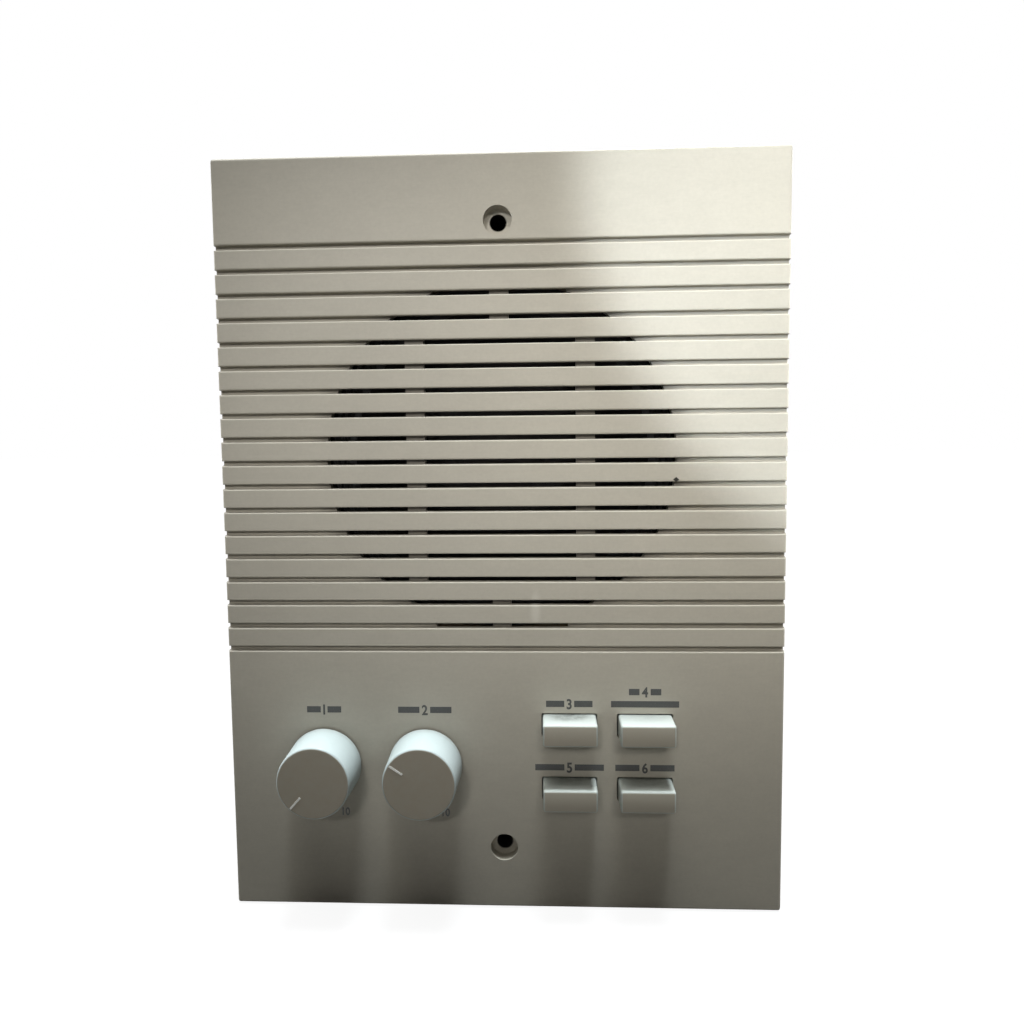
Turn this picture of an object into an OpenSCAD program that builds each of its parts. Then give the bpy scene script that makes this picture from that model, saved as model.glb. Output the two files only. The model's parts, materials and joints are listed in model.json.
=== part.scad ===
// Wall intercom station: a grooved panel that carries a loudspeaker, two rotary
// volume knobs and four push buttons, with the circuit board behind the controls.
// The front faces -Y, the wall is the plane y = 0, and +Z is up. The origin is
// midway between the two mounting screw holes. Sizes are in millimetres.

/* [Panel] */
// Width of the panel
panel_w = 181; // [176:1:200]
// Height of the panel
panel_h = 244.5; // [240:0.5:264]
// Depth from the wall to the front face
panel_t = 12; // [11:0.5:16]
// Thickness of the plain front wall
front_wall_t = 3; // [2.6:0.1:3.8]
// Thickness of the side walls
rim_t = 2.5; // [2:0.1:3.2]
// Radius of the corners, seen from the front
corner_r = 1.6; // [1:0.1:3]
// Radius of the rounded front edge
edge_r = 0.8; // [0.4:0.1:1.2]
// Thickness of the stiffening ribs behind the panel
rib_t = 1.5; // [1.2:0.1:2]

/* [Grooves and slots] */
// Number of grooves across the panel
groove_count = 18; // [17:1:19]
// Distance from the top edge to the first groove
groove_top = 27.45; // [27:0.05:32]
// Distance from one groove to the next
groove_pitch = 7.62; // [7.3:0.01:7.8]
// Width of a groove at its mouth
groove_w = 1.6; // [1.3:0.1:2.2]
// Depth of a groove
groove_d = 2.2; // [2.1:0.1:3.2]
// How much narrower the floor of a groove is than its mouth
groove_draft = 0.3; // [0.1:0.1:0.6]
// Radius of the rounded edges of a groove
groove_edge_r = 0.4; // [0.2:0.05:0.7]
// Thickness of the wall behind the grooves
grille_wall_t = 5; // [4.6:0.1:6]
// Thickness of the bars in front of the loudspeaker
bar_t = 1.9; // [1.5:0.1:2]
// Radius of the round field of open slots
slot_field_r = 56.2; // [52:0.1:57]
// Place of the middle of the slots, counted in grooves from 0 at the top
slot_field_row = 8.8; // [8:0.1:10]
// Half length of the highest and the lowest slot, where the round field alone would leave less
end_slot_half = 21.5; // [16:0.5:24]
// Width of the ties that join the bars from behind
tie_w = 6; // [4:0.5:8]
// Distance of the two long ties from the middle
tie_x = 27.3; // [22:0.1:30]
// Number of rows that a long tie crosses
tie_rows = 11; // [9:2:13]

/* [Mounting holes] */
// Distance of each screw hole from the top or bottom edge
hole_inset = 20.65; // [17:0.05:21]
// Diameter of the screw holes
screw_hole_d = 5.2; // [4.4:0.1:5.6]
// Diameter of the recess for a screw head
head_recess_d = 9; // [8:0.1:9.4]
// Depth of the recess for a screw head
head_recess_t = 4; // [2:0.1:5]
// Diameter of the tube around a screw hole
hole_boss_d = 12; // [11:0.5:13]

/* [Loudspeaker frame] */
// Width of the flat flange of the frame
flange_w = 7.3; // [6.5:0.1:8.3]
// Thickness of the frame's sheet steel
sheet_t = 1; // [0.8:0.1:1.2]
// Thickness of the front gasket
gasket_t = 3; // [2.4:0.1:3.4]
// Depth of the straight wall behind the flange
mouth_d = 5; // [4:0.5:6]
// Depth from the flange to the magnet assembly
frame_d = 24.5; // [23:0.5:28]
// Depth of the cup behind the damper
cup_d = 4.5; // [4:0.5:6]
// Radius of the cup behind the damper
cup_r = 27; // [26:0.5:28]
// Width of the ledge that the damper is glued to
ledge_w = 6; // [5:0.5:7]
// Angle taken by each leg of the frame
leg_angle = 28; // [20:1:36]

/* [Loudspeaker cone and magnet] */
// Width of the pleated edge of the cone
surround_w = 7; // [6:0.5:8]
// Thickness of the cone paper
cone_t = 0.8; // [0.6:0.1:1]
// Depth of the paper cone
cone_d = 15; // [13:0.5:16]
// Radius of the voice coil's former
former_r = 10; // [9:0.5:11]
// Radius of the dust cap
dust_cap_r = 14; // [13:0.5:16]
// Thickness of the front and back iron plates
plate_t = 4; // [3:0.5:5]
// Radius of the front iron plate
plate_r = 26; // [25:0.5:29]
// Radius of the ring magnet
magnet_r = 30; // [28:0.5:32]
// Thickness of the ring magnet
magnet_t = 9; // [8:0.5:12]
// Radial air gap on each side of the voice coil
coil_gap = 0.35; // [0.3:0.05:0.5]

/* [Knobs] */
// Diameter of a knob at its front face
knob_d = 23.3; // [22:0.1:24]
// Diameter of a knob at its base
knob_base_d = 24.2; // [24:0.1:25]
// Distance from the panel to the front face of a knob
knob_h = 14.4; // [13:0.1:18]
// Gap between the panel and a knob
knob_gap = 0.8; // [0.5:0.1:1.2]
// Thickness of a knob's skirt
knob_wall_t = 1.6; // [1.4:0.1:2.2]
// Thickness of a knob's front wall
knob_face_t = 2.2; // [2:0.1:2.6]
// Distance of the left knob from the panel's middle line
left_knob_x = 59.1; // [56:0.1:61]
// Distance of the right knob from the panel's middle line
right_knob_x = 25.7; // [22:0.1:27]
// Distance of the knobs below the lowest groove
knob_drop = 38.8; // [36.6:0.1:41]
// Clock angle of the left pointer at rest
left_pointer_angle = 222; // [220:1:500]
// Clock angle of the right pointer at rest
right_pointer_angle = 303; // [220:1:500]
// Width of the pointer line
pointer_w = 0.6; // [0.5:0.05:1]
// Length of the pointer line
pointer_l = 4.8; // [3:0.1:6]

/* [Push buttons] */
// Width of a button
button_w = 17.3; // [15:0.1:18]
// Height of a button
button_h = 7.2; // [6.8:0.1:7.4]
// Distance that a button stands out of the panel
button_out = 9; // [6:0.1:11]
// Travel of a button
button_travel = 3.5; // [2:0.1:3.8]
// Distance of the left column from the panel's middle line
button_x = 21.6; // [21:0.1:24]
// Distance from the left column to the right column
button_pitch_x = 24.5; // [24:0.1:28]
// Distance of the upper row below the lowest groove
button_drop = 25.3; // [23.6:0.1:27]
// Distance from the upper row to the lower row
button_pitch_z = 21.3; // [20:0.1:23]
// Gap between a button and the edge of its opening
button_gap = 0.4; // [0.3:0.05:0.5]

/* [Potentiometers] */
// Diameter of a shaft
shaft_d = 6; // [5.6:0.1:6.4]
// Radial running clearance of a shaft in its bush
shaft_clearance = 0.05; // [0.02:0.01:0.08]
// Outer diameter of a bush
bush_d = 8; // [7.8:0.1:8.6]
// Length of a bush
bush_l = 5; // [4:0.5:6]
// Diameter of a potentiometer's housing
pot_d = 17; // [16:0.5:18]
// Thickness of a potentiometer's housing
pot_t = 8; // [7:0.5:9]

/* [Circuit board] */
// Width of the board
board_w = 149; // [147:1:156]
// Height of the board
board_h = 51; // [50:0.5:53]
// Distance of the board's upper edge below the lowest groove
board_drop = 7.25; // [6.75:0.25:8.75]
// Thickness of the board
board_t = 1.6; // [1.2:0.1:2]
// Distance from the panel's front wall to the board
board_gap = 16; // [15.5:0.5:18]
// Distance of the board's screws from its edges
board_screw_inset = 5; // [4.5:0.5:5.5]
// Height of a switch on the board
switch_t = 7.5; // [7:0.1:8]

/* [Hidden] */

$fn = 64;
small_fn = 32;
// Overlap that makes two solids of one piece a single solid, and a cut run past a face
bite = 0.5;
// Distance that a drilled hole starts outside its face
cut_past = 1;
// Gap left between pieces that lie flat on each other without being one
seat = 0.02;
// Radial play of a screw in the hole it passes through
screw_play = 0.3;
// Gap between neighbours that move or are glued beside each other
slack = 0.4;

// Depths along Y
face_y = -panel_t;
back_y = face_y + front_wall_t;
grille_back_y = face_y + grille_wall_t;
flange_y = grille_back_y + gasket_t;
board_y = back_y + board_gap;
board_back_y = board_y + board_t;

// Heights along Z
top_z = panel_h / 2;
low_z = -panel_h / 2;
hole_z = top_z - hole_inset;
function groove_z(i) = top_z - groove_top - i * groove_pitch;
lowest_groove_z = groove_z(groove_count - 1);
knob_z = lowest_groove_z - knob_drop;
board_mid_z = lowest_groove_z - board_drop - board_h / 2;
speaker_z = groove_z(slot_field_row);
first_slot = ceil(slot_field_row - slot_field_r / groove_pitch);
last_slot = floor(slot_field_row + slot_field_r / groove_pitch);
tie_mid_z = groove_z(round(slot_field_row));

// Loudspeaker radii and depths, counted back from the front of the flange
mouth_gap = 0.5;
mouth_r = slot_field_r + mouth_gap;
flange_r = mouth_r + flange_w;
cone_r = mouth_r - surround_w;
ledge_d = frame_d - cup_d;
ledge_r = cup_r + ledge_w;
// The frame's windows stop short of the ledge and of the mouth
window_inner_land = 2.5;
window_outer_land = 2;
frame_floor_land = 0.6;
glue_w = 3;
glue_t = 0.5;
glue_gap = 0.1;
pleat_count = 3;
pleat_h = 0.8;
paper_lip_w = 1.6;
cone_curve = 0.8;
neck_thickening = 0.6;
cap_rise = 4;
cap_t = 0.6;
cap_lip_w = 0.8;
wave_count = 5;
wave_h = 0.7;
damper_t = 0.4;
winding_t = 0.4;
winding_l = 5;
winding_end = 0.3;
former_t = 0.25;
former_reach = 2.5;
former_glue_l = 1;
former_end_d = frame_d + former_reach;
pole_r = former_r - former_t - coil_gap;
winding_skin = 0.15;
plate_bore_r = former_r + winding_t + coil_gap + winding_skin;
magnet_bore_gap = 3;
magnet_bore_r = plate_bore_r + magnet_bore_gap;
back_dimple_r = 3;
back_dimple_t = 1;
cone_neck_d = cone_d + glue_t;

// Fibre strip on the damper ledge that the loudspeaker's leads are soldered to
terminal_angle = 270;
strip_gap = 1;
strip_w = 20;
strip_l = 11;
strip_t = 1.5;
tag_dx = 6;
tag_inset = 3;
tag_hole_r = 0.8;
tag_rivet_r = 0.75;
tag_rivet_start = 0.2;
tag_rivet_out = 0.2;
tag_w = 3.2;
tag_l = 9;
tag_t = 0.5;
tag_eye_at = 5.4;

// Ring and bosses that hold the loudspeaker
ring_gap = 0.5;
ring_drop = 0.6;
clip_boss_r = 4;
clip_boss_at = flange_r + ring_gap + slack + clip_boss_r;
clip_t = 1.2;
clip_w = 9;
clip_corner_r = 3;
clip_grip = 4;
clip_screw_r = 1.4;
clip_screw_depth = 4;
clip_head_r = 3;
clip_head_t = 2;
clip_angles = [45, 135, 225, 315];
pilot_gap = 0.05;
screw_end_gap = 1;
cross_w = 0.8;
cross_depth = 1;

// Thick pad behind the grooves, and the ribs on it
pad_below = 4;
pad_above = 3;
pad_low_z = speaker_z - flange_r - pad_below;
pad_top_z = groove_z(0) + pad_above;
rib_inset = 8;
rib_top_gap = 1;
rib_end_gap = 2;
cross_rib_count = 5;
cross_rib_start = 10;
cross_rib_drop = 1;
button_hole_r = 0.6;

// Board fixings
board_boss_r = 3.5;
board_screw_r = 1.4;
board_screw_depth = 8;
board_head_r = 2.8;
board_head_t = 2;
board_corner_r = 1;
board_screw_x = board_w / 2 - board_screw_inset;
board_screw_dz = board_h / 2 - board_screw_inset;

// Controls: column and row signs of the four buttons
button_mid_x = button_x + button_pitch_x / 2;
button_mid_z = lowest_groove_z - button_drop - button_pitch_z / 2;
button_wall_t = 1.2;
button_edge_r = 0.35;
button_flange_w = 1.1;
button_flange_t = 1.5;
button_flange_r = 0.5;
button_rest_gap = 0.3;
plunger_w = 4;
plunger_h = 3;
plunger_gap = 0.15;
plunger_grip = 4;
plunger_reach = 1;
button_back_y = back_y + button_rest_gap + button_flange_t;
button_boss_inset = 0.2;
button_boss_r = button_h / 2 - button_boss_inset;
switch_w = 12.6;
switch_h = 7.4;
switch_y = board_y - switch_t;
spring_l = switch_y - button_back_y;
spring_wire_r = 0.225;
spring_inset = 0.3;
spring_r = button_boss_r - spring_inset;
spring_curls = 4;
rings_per_curl = 8;
wire_sides = 6;
pin_r = 0.4;
pin_gap = 0.1;
pin_out = 1;
pin_fn = 16;
pot_pin_pitch = 5;
pot_pin_drop = 5;
pot_step_t = 2;
pot_step_w = 0.5;
pot_foot_margin = 1.5;
pot_foot_out = 1;
switch_pin_dx = 4;
switch_pin_dz = 2.5;
shaft_hole_gap = 1;
shaft_in_pot = 3;
shaft_end_gap = 0.3;
bush_y = board_y - pot_t - bush_l;
shaft_end_y = board_y - pot_t + shaft_in_pot;
flat_d = 1.5;
knob_edge_r = 0.7;
knob_hub_r = 4.9;
knob_hub_recess = 1.8;
knob_draft_w = 0.3;
knob_web_t = 1.2;
knob_web_end = 1;
knob_base_y = face_y - knob_gap;
knob_l = knob_h - knob_gap;
bore_l = knob_l - knob_face_t - knob_hub_recess;
pointer_depth = 0.4;
pointer_proud = 0.1;
pointer_play = 0.04;
pointer_rim_gap = 0.75;

// Barrier strip for the house wiring
way_count = 8;
way_pitch = 6;
block_t = 9;
block_h = 10.4;
block_dz = -3.2;
block_wall_t = 1;
block_sill_h = 1.5;
block_floor_t = 4;
block_shift = 1;
block_x = button_mid_x - block_shift;
block_w = way_count * way_pitch + block_wall_t;
plate_w = 4.4;
plate_h = 8;
wire_plate_t = 0.6;
terminal_screw_r = 2;
terminal_screw_l = 2.2;
terminal_slot_w = 0.6;
terminal_slot_t = 0.7;

// Line transformer: a core with two windows, and the bobbin that fills them
core_w = 22;
core_h = 18;
core_t = 13;
core_x = -50;
core_dz = 12;
core_lift = 1;
core_leg_w = 3;
core_window_h = core_h / 4 + 0.6;
bobbin_gap = 0.1;
bobbin_out = 2;

// Capacitors, each as its x and dz on the board and its sizes
electrolytic_sizes = [[-29, 12, 5, 14], [-17, 13, 4, 11], [-8, 12, 3.2, 9]];
electrolytic_edge_r = 0.4;
electrolytic_bead_z = 1.6;
electrolytic_bead_t = 0.3;
electrolytic_rim_w = 1.3;
film_sizes = [[-59, -19.5, 8, 4], [-42, -19.5, 10, 4], [-6, -8, 4, 10]];
film_t = 7;
film_corner_r = 0.6;

// Resistors and the amplifier chip
resistor_count = 5;
resistor_x = 3;
resistor_pitch = 5;
resistor_dz = 18.5;
resistor_l = 6.4;
resistor_r = 1.15;
resistor_neck = 0.2;
resistor_cap_l = 1.4;
resistor_cap_slope = 0.3;
resistor_lift = 0.4;
lead_r = 0.3;
lead_span = 10;
chip_w = 10;
chip_h = 6.4;
chip_t = 3.4;
chip_x = 42;
chip_lift = 0.5;
chip_notch_r = 1;
chip_notch_t = 0.4;
chip_leg_pitch = 2.54;
chip_leg_w = 0.8;
chip_leg_t = 0.6;

// Colours
panel_colour = [0.72, 0.71, 0.66];
button_colour = [0.8, 0.8, 0.77];
steel = [0.62, 0.63, 0.64];
iron = [0.45, 0.46, 0.48];
brass = [0.76, 0.62, 0.33];
copper = [0.72, 0.42, 0.24];
black = [0.09, 0.09, 0.09];

// Points of a quarter turn from angle a0 to a1 about a centre
function arc(cx, cy, r, a0, a1, n) =
    [for (i = [0:n]) let (a = a0 + (a1 - a0) * i / n) [cx + r * cos(a), cy + r * sin(a)]];

// Outline of a rectangle centred on the origin, with rounded corners
function round_rect(w, h, r, n = 6) = concat(
    arc(w / 2 - r, h / 2 - r, r, 0, 90, n), arc(r - w / 2, h / 2 - r, r, 90, 180, n),
    arc(r - w / 2, r - h / 2, r, 180, 270, n), arc(w / 2 - r, r - h / 2, r, 270, 360, n));

// Outline with the corners of one side rounded: w across, from depth 0 at the
// rounded side to depth d
function tray_profile(w, d, r, n = 5) = concat(
    [[-w / 2, d], [w / 2, d]],
    arc(w / 2 - r, r, r, 0, -90, n), arc(r - w / 2, r, r, 270, 180, n));

// A piece whose own +Z points out of the panel, towards the room
module facing_front(x, y, z) {
    translate([x, y, z]) rotate([90, 0, 0]) children();
}

// A round piece whose own +Z points back into the wall
module facing_back(x, y, z) {
    translate([x, y, z]) rotate([-90, 0, 0]) children();
}

// A loudspeaker piece, placed by its depth behind the flange
module on_speaker(depth = 0) {
    facing_back(0, flange_y + depth, speaker_z) children();
}

// A sketch seen from the front, made solid from depth y0 back to depth y1
module from_front(y0, y1) {
    facing_front(0, y1, 0) linear_extrude(y1 - y0) children();
}

// Panel

module panel_blank() {
    intersection() {
        from_front(face_y, 0) polygon(round_rect(panel_w, panel_h, corner_r));
        // Front edges at the left and right
        translate([0, face_y, low_z - bite]) linear_extrude(panel_h + 2 * bite)
            polygon(tray_profile(panel_w, panel_t + bite, edge_r));
        // Front edges at the top and bottom
        translate([-panel_w / 2 - bite, face_y, 0]) rotate([90, 0, 90])
            linear_extrude(panel_w + 2 * bite)
                rotate(-90) polygon(tray_profile(panel_h, panel_t + bite, edge_r));
    }
}

module panel_hollow() {
    inner_w = panel_w - 2 * rim_t;
    inner_h = panel_h - 2 * rim_t;
    from_front(back_y, bite) polygon(round_rect(inner_w, inner_h, corner_r));
}

// One groove with rounded mouth edges, across the whole panel
module groove() {
    r = groove_edge_r;
    half = groove_w / 2;
    floor_half = half - groove_draft / 2;
    side = concat(
        [[-1, half + r]],
        [for (i = [0:3]) let (t = 30 * i) [r - r * cos(t), half + r - r * sin(t)]],
        [[groove_d, floor_half]]);
    outline = concat(side, [for (i = [len(side) - 1:-1:0]) [side[i][0], -side[i][1]]]);
    translate([-panel_w / 2 - bite, face_y, 0]) rotate([90, 0, 90])
        linear_extrude(panel_w + 2 * bite) polygon(outline);
}

// Ties that stay behind the bars: a short one above and below, two long ones
module bar_ties() {
    depth = grille_wall_t - bar_t + 2 * bite;
    long_h = tie_rows * groove_pitch;
    field_h = 2 * (slot_field_r + groove_pitch);
    for (x = [-tie_x, tie_x])
        translate([x - tie_w / 2, face_y + bar_t - bite, tie_mid_z - long_h / 2])
            cube([tie_w, depth, long_h]);
    difference() {
        translate([-tie_w / 2, face_y + bar_t - bite, speaker_z - field_h / 2])
            cube([tie_w, depth, field_h]);
        translate([-tie_w, face_y, tie_mid_z - long_h / 2])
            cube([2 * tie_w, 2 * grille_wall_t, long_h]);
    }
}

// Round pocket behind the grooves that opens them into slots. The two end slots may run past it.
module slot_field() {
    depth = grille_wall_t - bar_t + bite;
    difference() {
        union() {
            facing_back(0, face_y + bar_t, speaker_z)
                cylinder(r = slot_field_r, h = depth, $fn = 120);
            for (row = [first_slot, last_slot])
                translate([-end_slot_half, face_y + bar_t, groove_z(row) - groove_w])
                    cube([2 * end_slot_half, depth, 2 * groove_w]);
        }
        bar_ties();
    }
}

module speaker_seat() {
    ring_r = flange_r + ring_gap;
    ring_h = gasket_t + sheet_t - ring_drop;
    facing_back(0, back_y - bite, speaker_z) difference() {
        cylinder(r = ring_r + rib_t, h = grille_back_y - back_y + bite + ring_h, $fn = 120);
        translate([0, 0, -cut_past]) cylinder(r = ring_r, h = 2 * panel_t, $fn = 120);
    }
    for (a = clip_angles)
        facing_back(0, back_y - bite, speaker_z) rotate(a) translate([clip_boss_at, 0, 0])
            cylinder(r = clip_boss_r, h = flange_y + sheet_t - back_y + bite);
}

module screw_bosses() {
    for (z = [-hole_z, hole_z])
        facing_back(0, back_y - bite, z) cylinder(d = hole_boss_d, h = -back_y + bite);
    for (x = [-board_screw_x, board_screw_x], dz = [-board_screw_dz, board_screw_dz])
        facing_back(x, back_y - bite, board_mid_z + dz)
            cylinder(r = board_boss_r, h = board_gap + bite);
}

// Ribs down both sides and from each mounting hole to the nearest rim
module stiffening_ribs() {
    rib_x = panel_w / 2 - rim_t - rib_inset;
    rib_h = -grille_back_y - rib_top_gap;
    side_h = pad_top_z - pad_low_z - 2 * rib_end_gap;
    for (s = [-1, 1])
        translate([s * rib_x - rib_t / 2, grille_back_y - bite, pad_low_z + rib_end_gap])
            cube([rib_t, rib_h + bite, side_h]);
    for (s = [-1, 1], k = [0:cross_rib_count - 1])
        translate([s * (rib_x + rib_inset / 2 + bite / 2) - (rib_inset + bite) / 2,
                   grille_back_y - bite, pad_low_z + cross_rib_start + k * side_h / cross_rib_count])
            cube([rib_inset + bite, rib_h + bite - cross_rib_drop, rib_t]);
    web_h = hole_inset - hole_boss_d / 2 - rim_t + 2 * bite;
    for (s = [-1, 1])
        translate([-rib_t / 2, back_y - bite, s * (top_z - rim_t + bite - web_h / 2) - web_h / 2])
            cube([rib_t, -back_y - rib_top_gap + bite, web_h]);
}

module front_panel() {
    color(panel_colour) difference() {
        union() {
            difference() {
                panel_blank();
                panel_hollow();
            }
            pad_h = pad_top_z - pad_low_z;
            translate([0, 0, pad_low_z + pad_h / 2])
                from_front(back_y - bite, grille_back_y)
                    square([panel_w - 2 * rim_t + 2 * bite, pad_h], center = true);
            speaker_seat();
            screw_bosses();
            stiffening_ribs();
        }
        for (i = [0:groove_count - 1]) translate([0, 0, groove_z(i)]) groove();
        slot_field();
        for (a = clip_angles)
            on_speaker(sheet_t - clip_screw_depth) rotate(a) translate([clip_boss_at, 0, 0])
                cylinder(r = clip_screw_r + pilot_gap, h = 2 * clip_screw_depth, $fn = small_fn);
        for (z = [-hole_z, hole_z]) {
            facing_back(0, face_y - bite, z) cylinder(d = head_recess_d, h = head_recess_t + bite);
            facing_back(0, face_y, z) cylinder(d = screw_hole_d, h = panel_t + bite);
        }
        for (x = [-board_screw_x, board_screw_x], dz = [-board_screw_dz, board_screw_dz])
            facing_back(x, board_y - board_screw_depth, board_mid_z + dz)
                cylinder(r = board_screw_r + pilot_gap, h = 2 * board_screw_depth, $fn = small_fn);
        for (x = [-left_knob_x, -right_knob_x])
            facing_back(x, face_y - bite, knob_z)
                cylinder(r = shaft_d / 2 + shaft_hole_gap, h = front_wall_t + 2 * bite);
        for (col = [-1, 1], row = [-1, 1])
            at_button(col, row) from_front(face_y - bite, back_y + bite)
                polygon(round_rect(button_w + 2 * button_gap, button_h + 2 * button_gap,
                                   button_hole_r, 3));
    }
}

// Loudspeaker

module speaker_gasket() {
    step_r = mouth_r + glue_w + slack;
    step_d = gasket_t - glue_t - glue_gap;
    color([0.5, 0.44, 0.34]) on_speaker(-gasket_t) rotate_extrude($fn = 120) polygon([
        [mouth_r, seat], [flange_r, seat], [flange_r, gasket_t - seat],
        [step_r, gasket_t - seat], [step_r, step_d], [mouth_r, step_d]]);
}

module speaker_frame() {
    bottom_r = plate_bore_r + frame_floor_land;
    color(steel) on_speaker() difference() {
        rotate_extrude($fn = 120) polygon([
            [flange_r, 0], [flange_r, sheet_t], [mouth_r + sheet_t, sheet_t],
            [mouth_r + sheet_t, mouth_d + sheet_t / 2], [ledge_r + sheet_t, ledge_d],
            [cup_r, ledge_d], [cup_r, frame_d], [bottom_r, frame_d],
            [bottom_r, frame_d - sheet_t], [cup_r - sheet_t, frame_d - sheet_t],
            [cup_r - sheet_t, ledge_d - sheet_t], [ledge_r, ledge_d - sheet_t],
            [mouth_r, mouth_d], [mouth_r, 0]]);
        // Openings between the four legs
        window_r0 = ledge_r + window_inner_land;
        window_r1 = mouth_r - window_outer_land;
        half_angle = (90 - leg_angle) / 2;
        for (a = clip_angles) rotate(a) translate([0, 0, mouth_d / 2])
            linear_extrude(ledge_d) intersection() {
                difference() {
                    circle(r = window_r1, $fn = 120);
                    circle(r = window_r0, $fn = 120);
                }
                polygon([[0, 0], [2 * mouth_r, -2 * mouth_r * tan(half_angle)],
                         [2 * mouth_r, 2 * mouth_r * tan(half_angle)]]);
            }
    }
}

// Paper edge with round pleats, glued to the flange and to the rim of the cone
function surround_points() = let (n = 8 * pleat_count, r0 = cone_r + slack, r1 = mouth_r - slack)
    [for (i = [0:n]) [r0 + (r1 - r0) * i / n,
                      -pleat_h * (1 - cos(360 * pleat_count * i / n)) / 2]];

module cone_surround() {
    inner = [[cone_r - paper_lip_w, 0], [cone_r, 0]];
    outer = [[mouth_r, 0], [mouth_r + glue_w, 0]];
    front = concat(inner, surround_points(), outer);
    back = [for (i = [len(front) - 1:-1:0]) [front[i][0], front[i][1] + glue_t]];
    color([0.12, 0.11, 0.1]) on_speaker(-glue_t - seat)
        rotate_extrude($fn = 120) polygon(concat(front, back));
}

// Depth of the curved paper cone at the share t of the way from neck to rim
function cone_depth(t) = cone_neck_d - cone_d * pow(t, cone_curve);

module speaker_cone() {
    steps = 10;
    front = [for (i = [0:steps]) let (t = i / steps)
             [former_r + seat + (cone_r - paper_lip_w - former_r) * t, cone_depth(t) - glue_t + seat]];
    lip = [[cone_r, front[steps][1]], [cone_r, front[steps][1] + cone_t]];
    back = [for (i = [steps:-1:0]) let (thick = 1 + neck_thickening * (1 - i / steps))
            [front[i][0], front[i][1] + cone_t * thick]];
    color([0.1, 0.1, 0.1]) on_speaker()
        rotate_extrude($fn = 120) polygon(concat(front, lip, back));
}

module dust_cap() {
    t = (dust_cap_r - former_r) / (cone_r - paper_lip_w - former_r);
    rim_d = cone_depth(t) - glue_t;
    steps = 6;
    front = [for (i = [0:steps]) [dust_cap_r * i / steps, -cap_rise * cos(90 * i / steps)]];
    back = [for (i = [steps:-1:0]) [(dust_cap_r - cap_lip_w) * i / steps,
                                    -(cap_rise - cap_t) * cos(90 * i / steps)]];
    color([0.15, 0.14, 0.13]) on_speaker(rim_d - glue_gap)
        rotate_extrude() polygon(concat(front, back));
}

module coil_former() {
    color([0.7, 0.58, 0.4]) on_speaker(cone_neck_d - former_glue_l) difference() {
        cylinder(r = former_r, h = former_end_d - cone_neck_d + former_glue_l);
        translate([0, 0, -cut_past]) cylinder(r = former_r - former_t, h = 2 * frame_d);
    }
}

module coil_winding() {
    color(copper) on_speaker(former_end_d - winding_l - winding_end) difference() {
        cylinder(r = former_r + winding_t, h = winding_l);
        translate([0, 0, -cut_past]) cylinder(r = former_r + seat / 2, h = 2 * winding_l);
    }
}

// Corrugated cloth disc that centres the coil
module cone_damper() {
    steps = 8 * wave_count;
    r0 = former_r + winding_t + slack;
    r1 = cup_r - sheet_t - slack;
    wave = [for (i = [0:steps])
            [r0 + (r1 - r0) * i / steps, -wave_h * sin(360 * wave_count * i / steps)]];
    front = concat([[former_r + pilot_gap, 0]], wave, [[ledge_r - slack, 0]]);
    back = [for (i = [len(front) - 1:-1:0]) [front[i][0], front[i][1] + damper_t]];
    color([0.72, 0.6, 0.34]) on_speaker(ledge_d - sheet_t - damper_t - seat)
        rotate_extrude() polygon(concat(front, back));
}

module iron_ring(r, bore_r, t) {
    difference() {
        cylinder(r = r, h = t);
        translate([0, 0, -cut_past]) cylinder(r = bore_r, h = t + 2 * cut_past);
    }
}

module front_plate() {
    color(iron) on_speaker(frame_d) iron_ring(plate_r, plate_bore_r, plate_t);
}

module ring_magnet() {
    color([0.2, 0.2, 0.21]) on_speaker(frame_d + plate_t) iron_ring(magnet_r, magnet_bore_r, magnet_t);
}

module back_plate() {
    color(iron) on_speaker(frame_d + plate_t + magnet_t) difference() {
        cylinder(r = plate_r, h = plate_t);
        translate([0, 0, plate_t - back_dimple_t]) cylinder(r = back_dimple_r, h = plate_t);
    }
}

module pole_piece() {
    color(iron) on_speaker(frame_d) cylinder(r = pole_r, h = plate_t + magnet_t);
}

module at_terminal_strip() {
    on_speaker(ledge_d) rotate(-terminal_angle) translate([cup_r + strip_gap, 0, 0]) children();
}

module speaker_terminal_board() {
    color([0.45, 0.3, 0.18]) at_terminal_strip() difference() {
        translate([0, -strip_w / 2, seat]) cube([strip_l, strip_w, strip_t - seat]);
        for (s = [-1, 1]) translate([strip_l - tag_inset, s * tag_dx, -cut_past])
            cylinder(r = tag_hole_r, h = strip_t + 2 * cut_past, $fn = small_fn);
    }
}

module speaker_terminal_tags() {
    color(brass) at_terminal_strip() for (s = [-1, 1]) translate([strip_l - tag_inset, s * tag_dx, 0]) {
        translate([0, 0, tag_rivet_start])
            cylinder(r = tag_rivet_r, h = strip_t + tag_t + tag_rivet_out - tag_rivet_start, $fn = small_fn);
        difference() {
            translate([-tag_w / 2, -tag_w / 2, strip_t + seat]) cube([tag_l, tag_w, tag_t]);
            translate([tag_eye_at, 0, 0])
                cylinder(r = tag_hole_r, h = strip_t + tag_t + cut_past, $fn = small_fn);
        }
    }
}

module speaker_clips() {
    l = clip_boss_r + clip_boss_at - flange_r + clip_grip;
    color(steel) for (a = clip_angles)
        on_speaker(sheet_t + seat) rotate(a) difference() {
            translate([flange_r - clip_grip + l / 2, 0, 0])
                linear_extrude(clip_t) polygon(round_rect(l, clip_w, clip_corner_r, 4));
            translate([clip_boss_at, 0, -cut_past])
                cylinder(r = clip_screw_r + screw_play, h = clip_t + 2 * cut_past, $fn = small_fn);
        }
}

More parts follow.
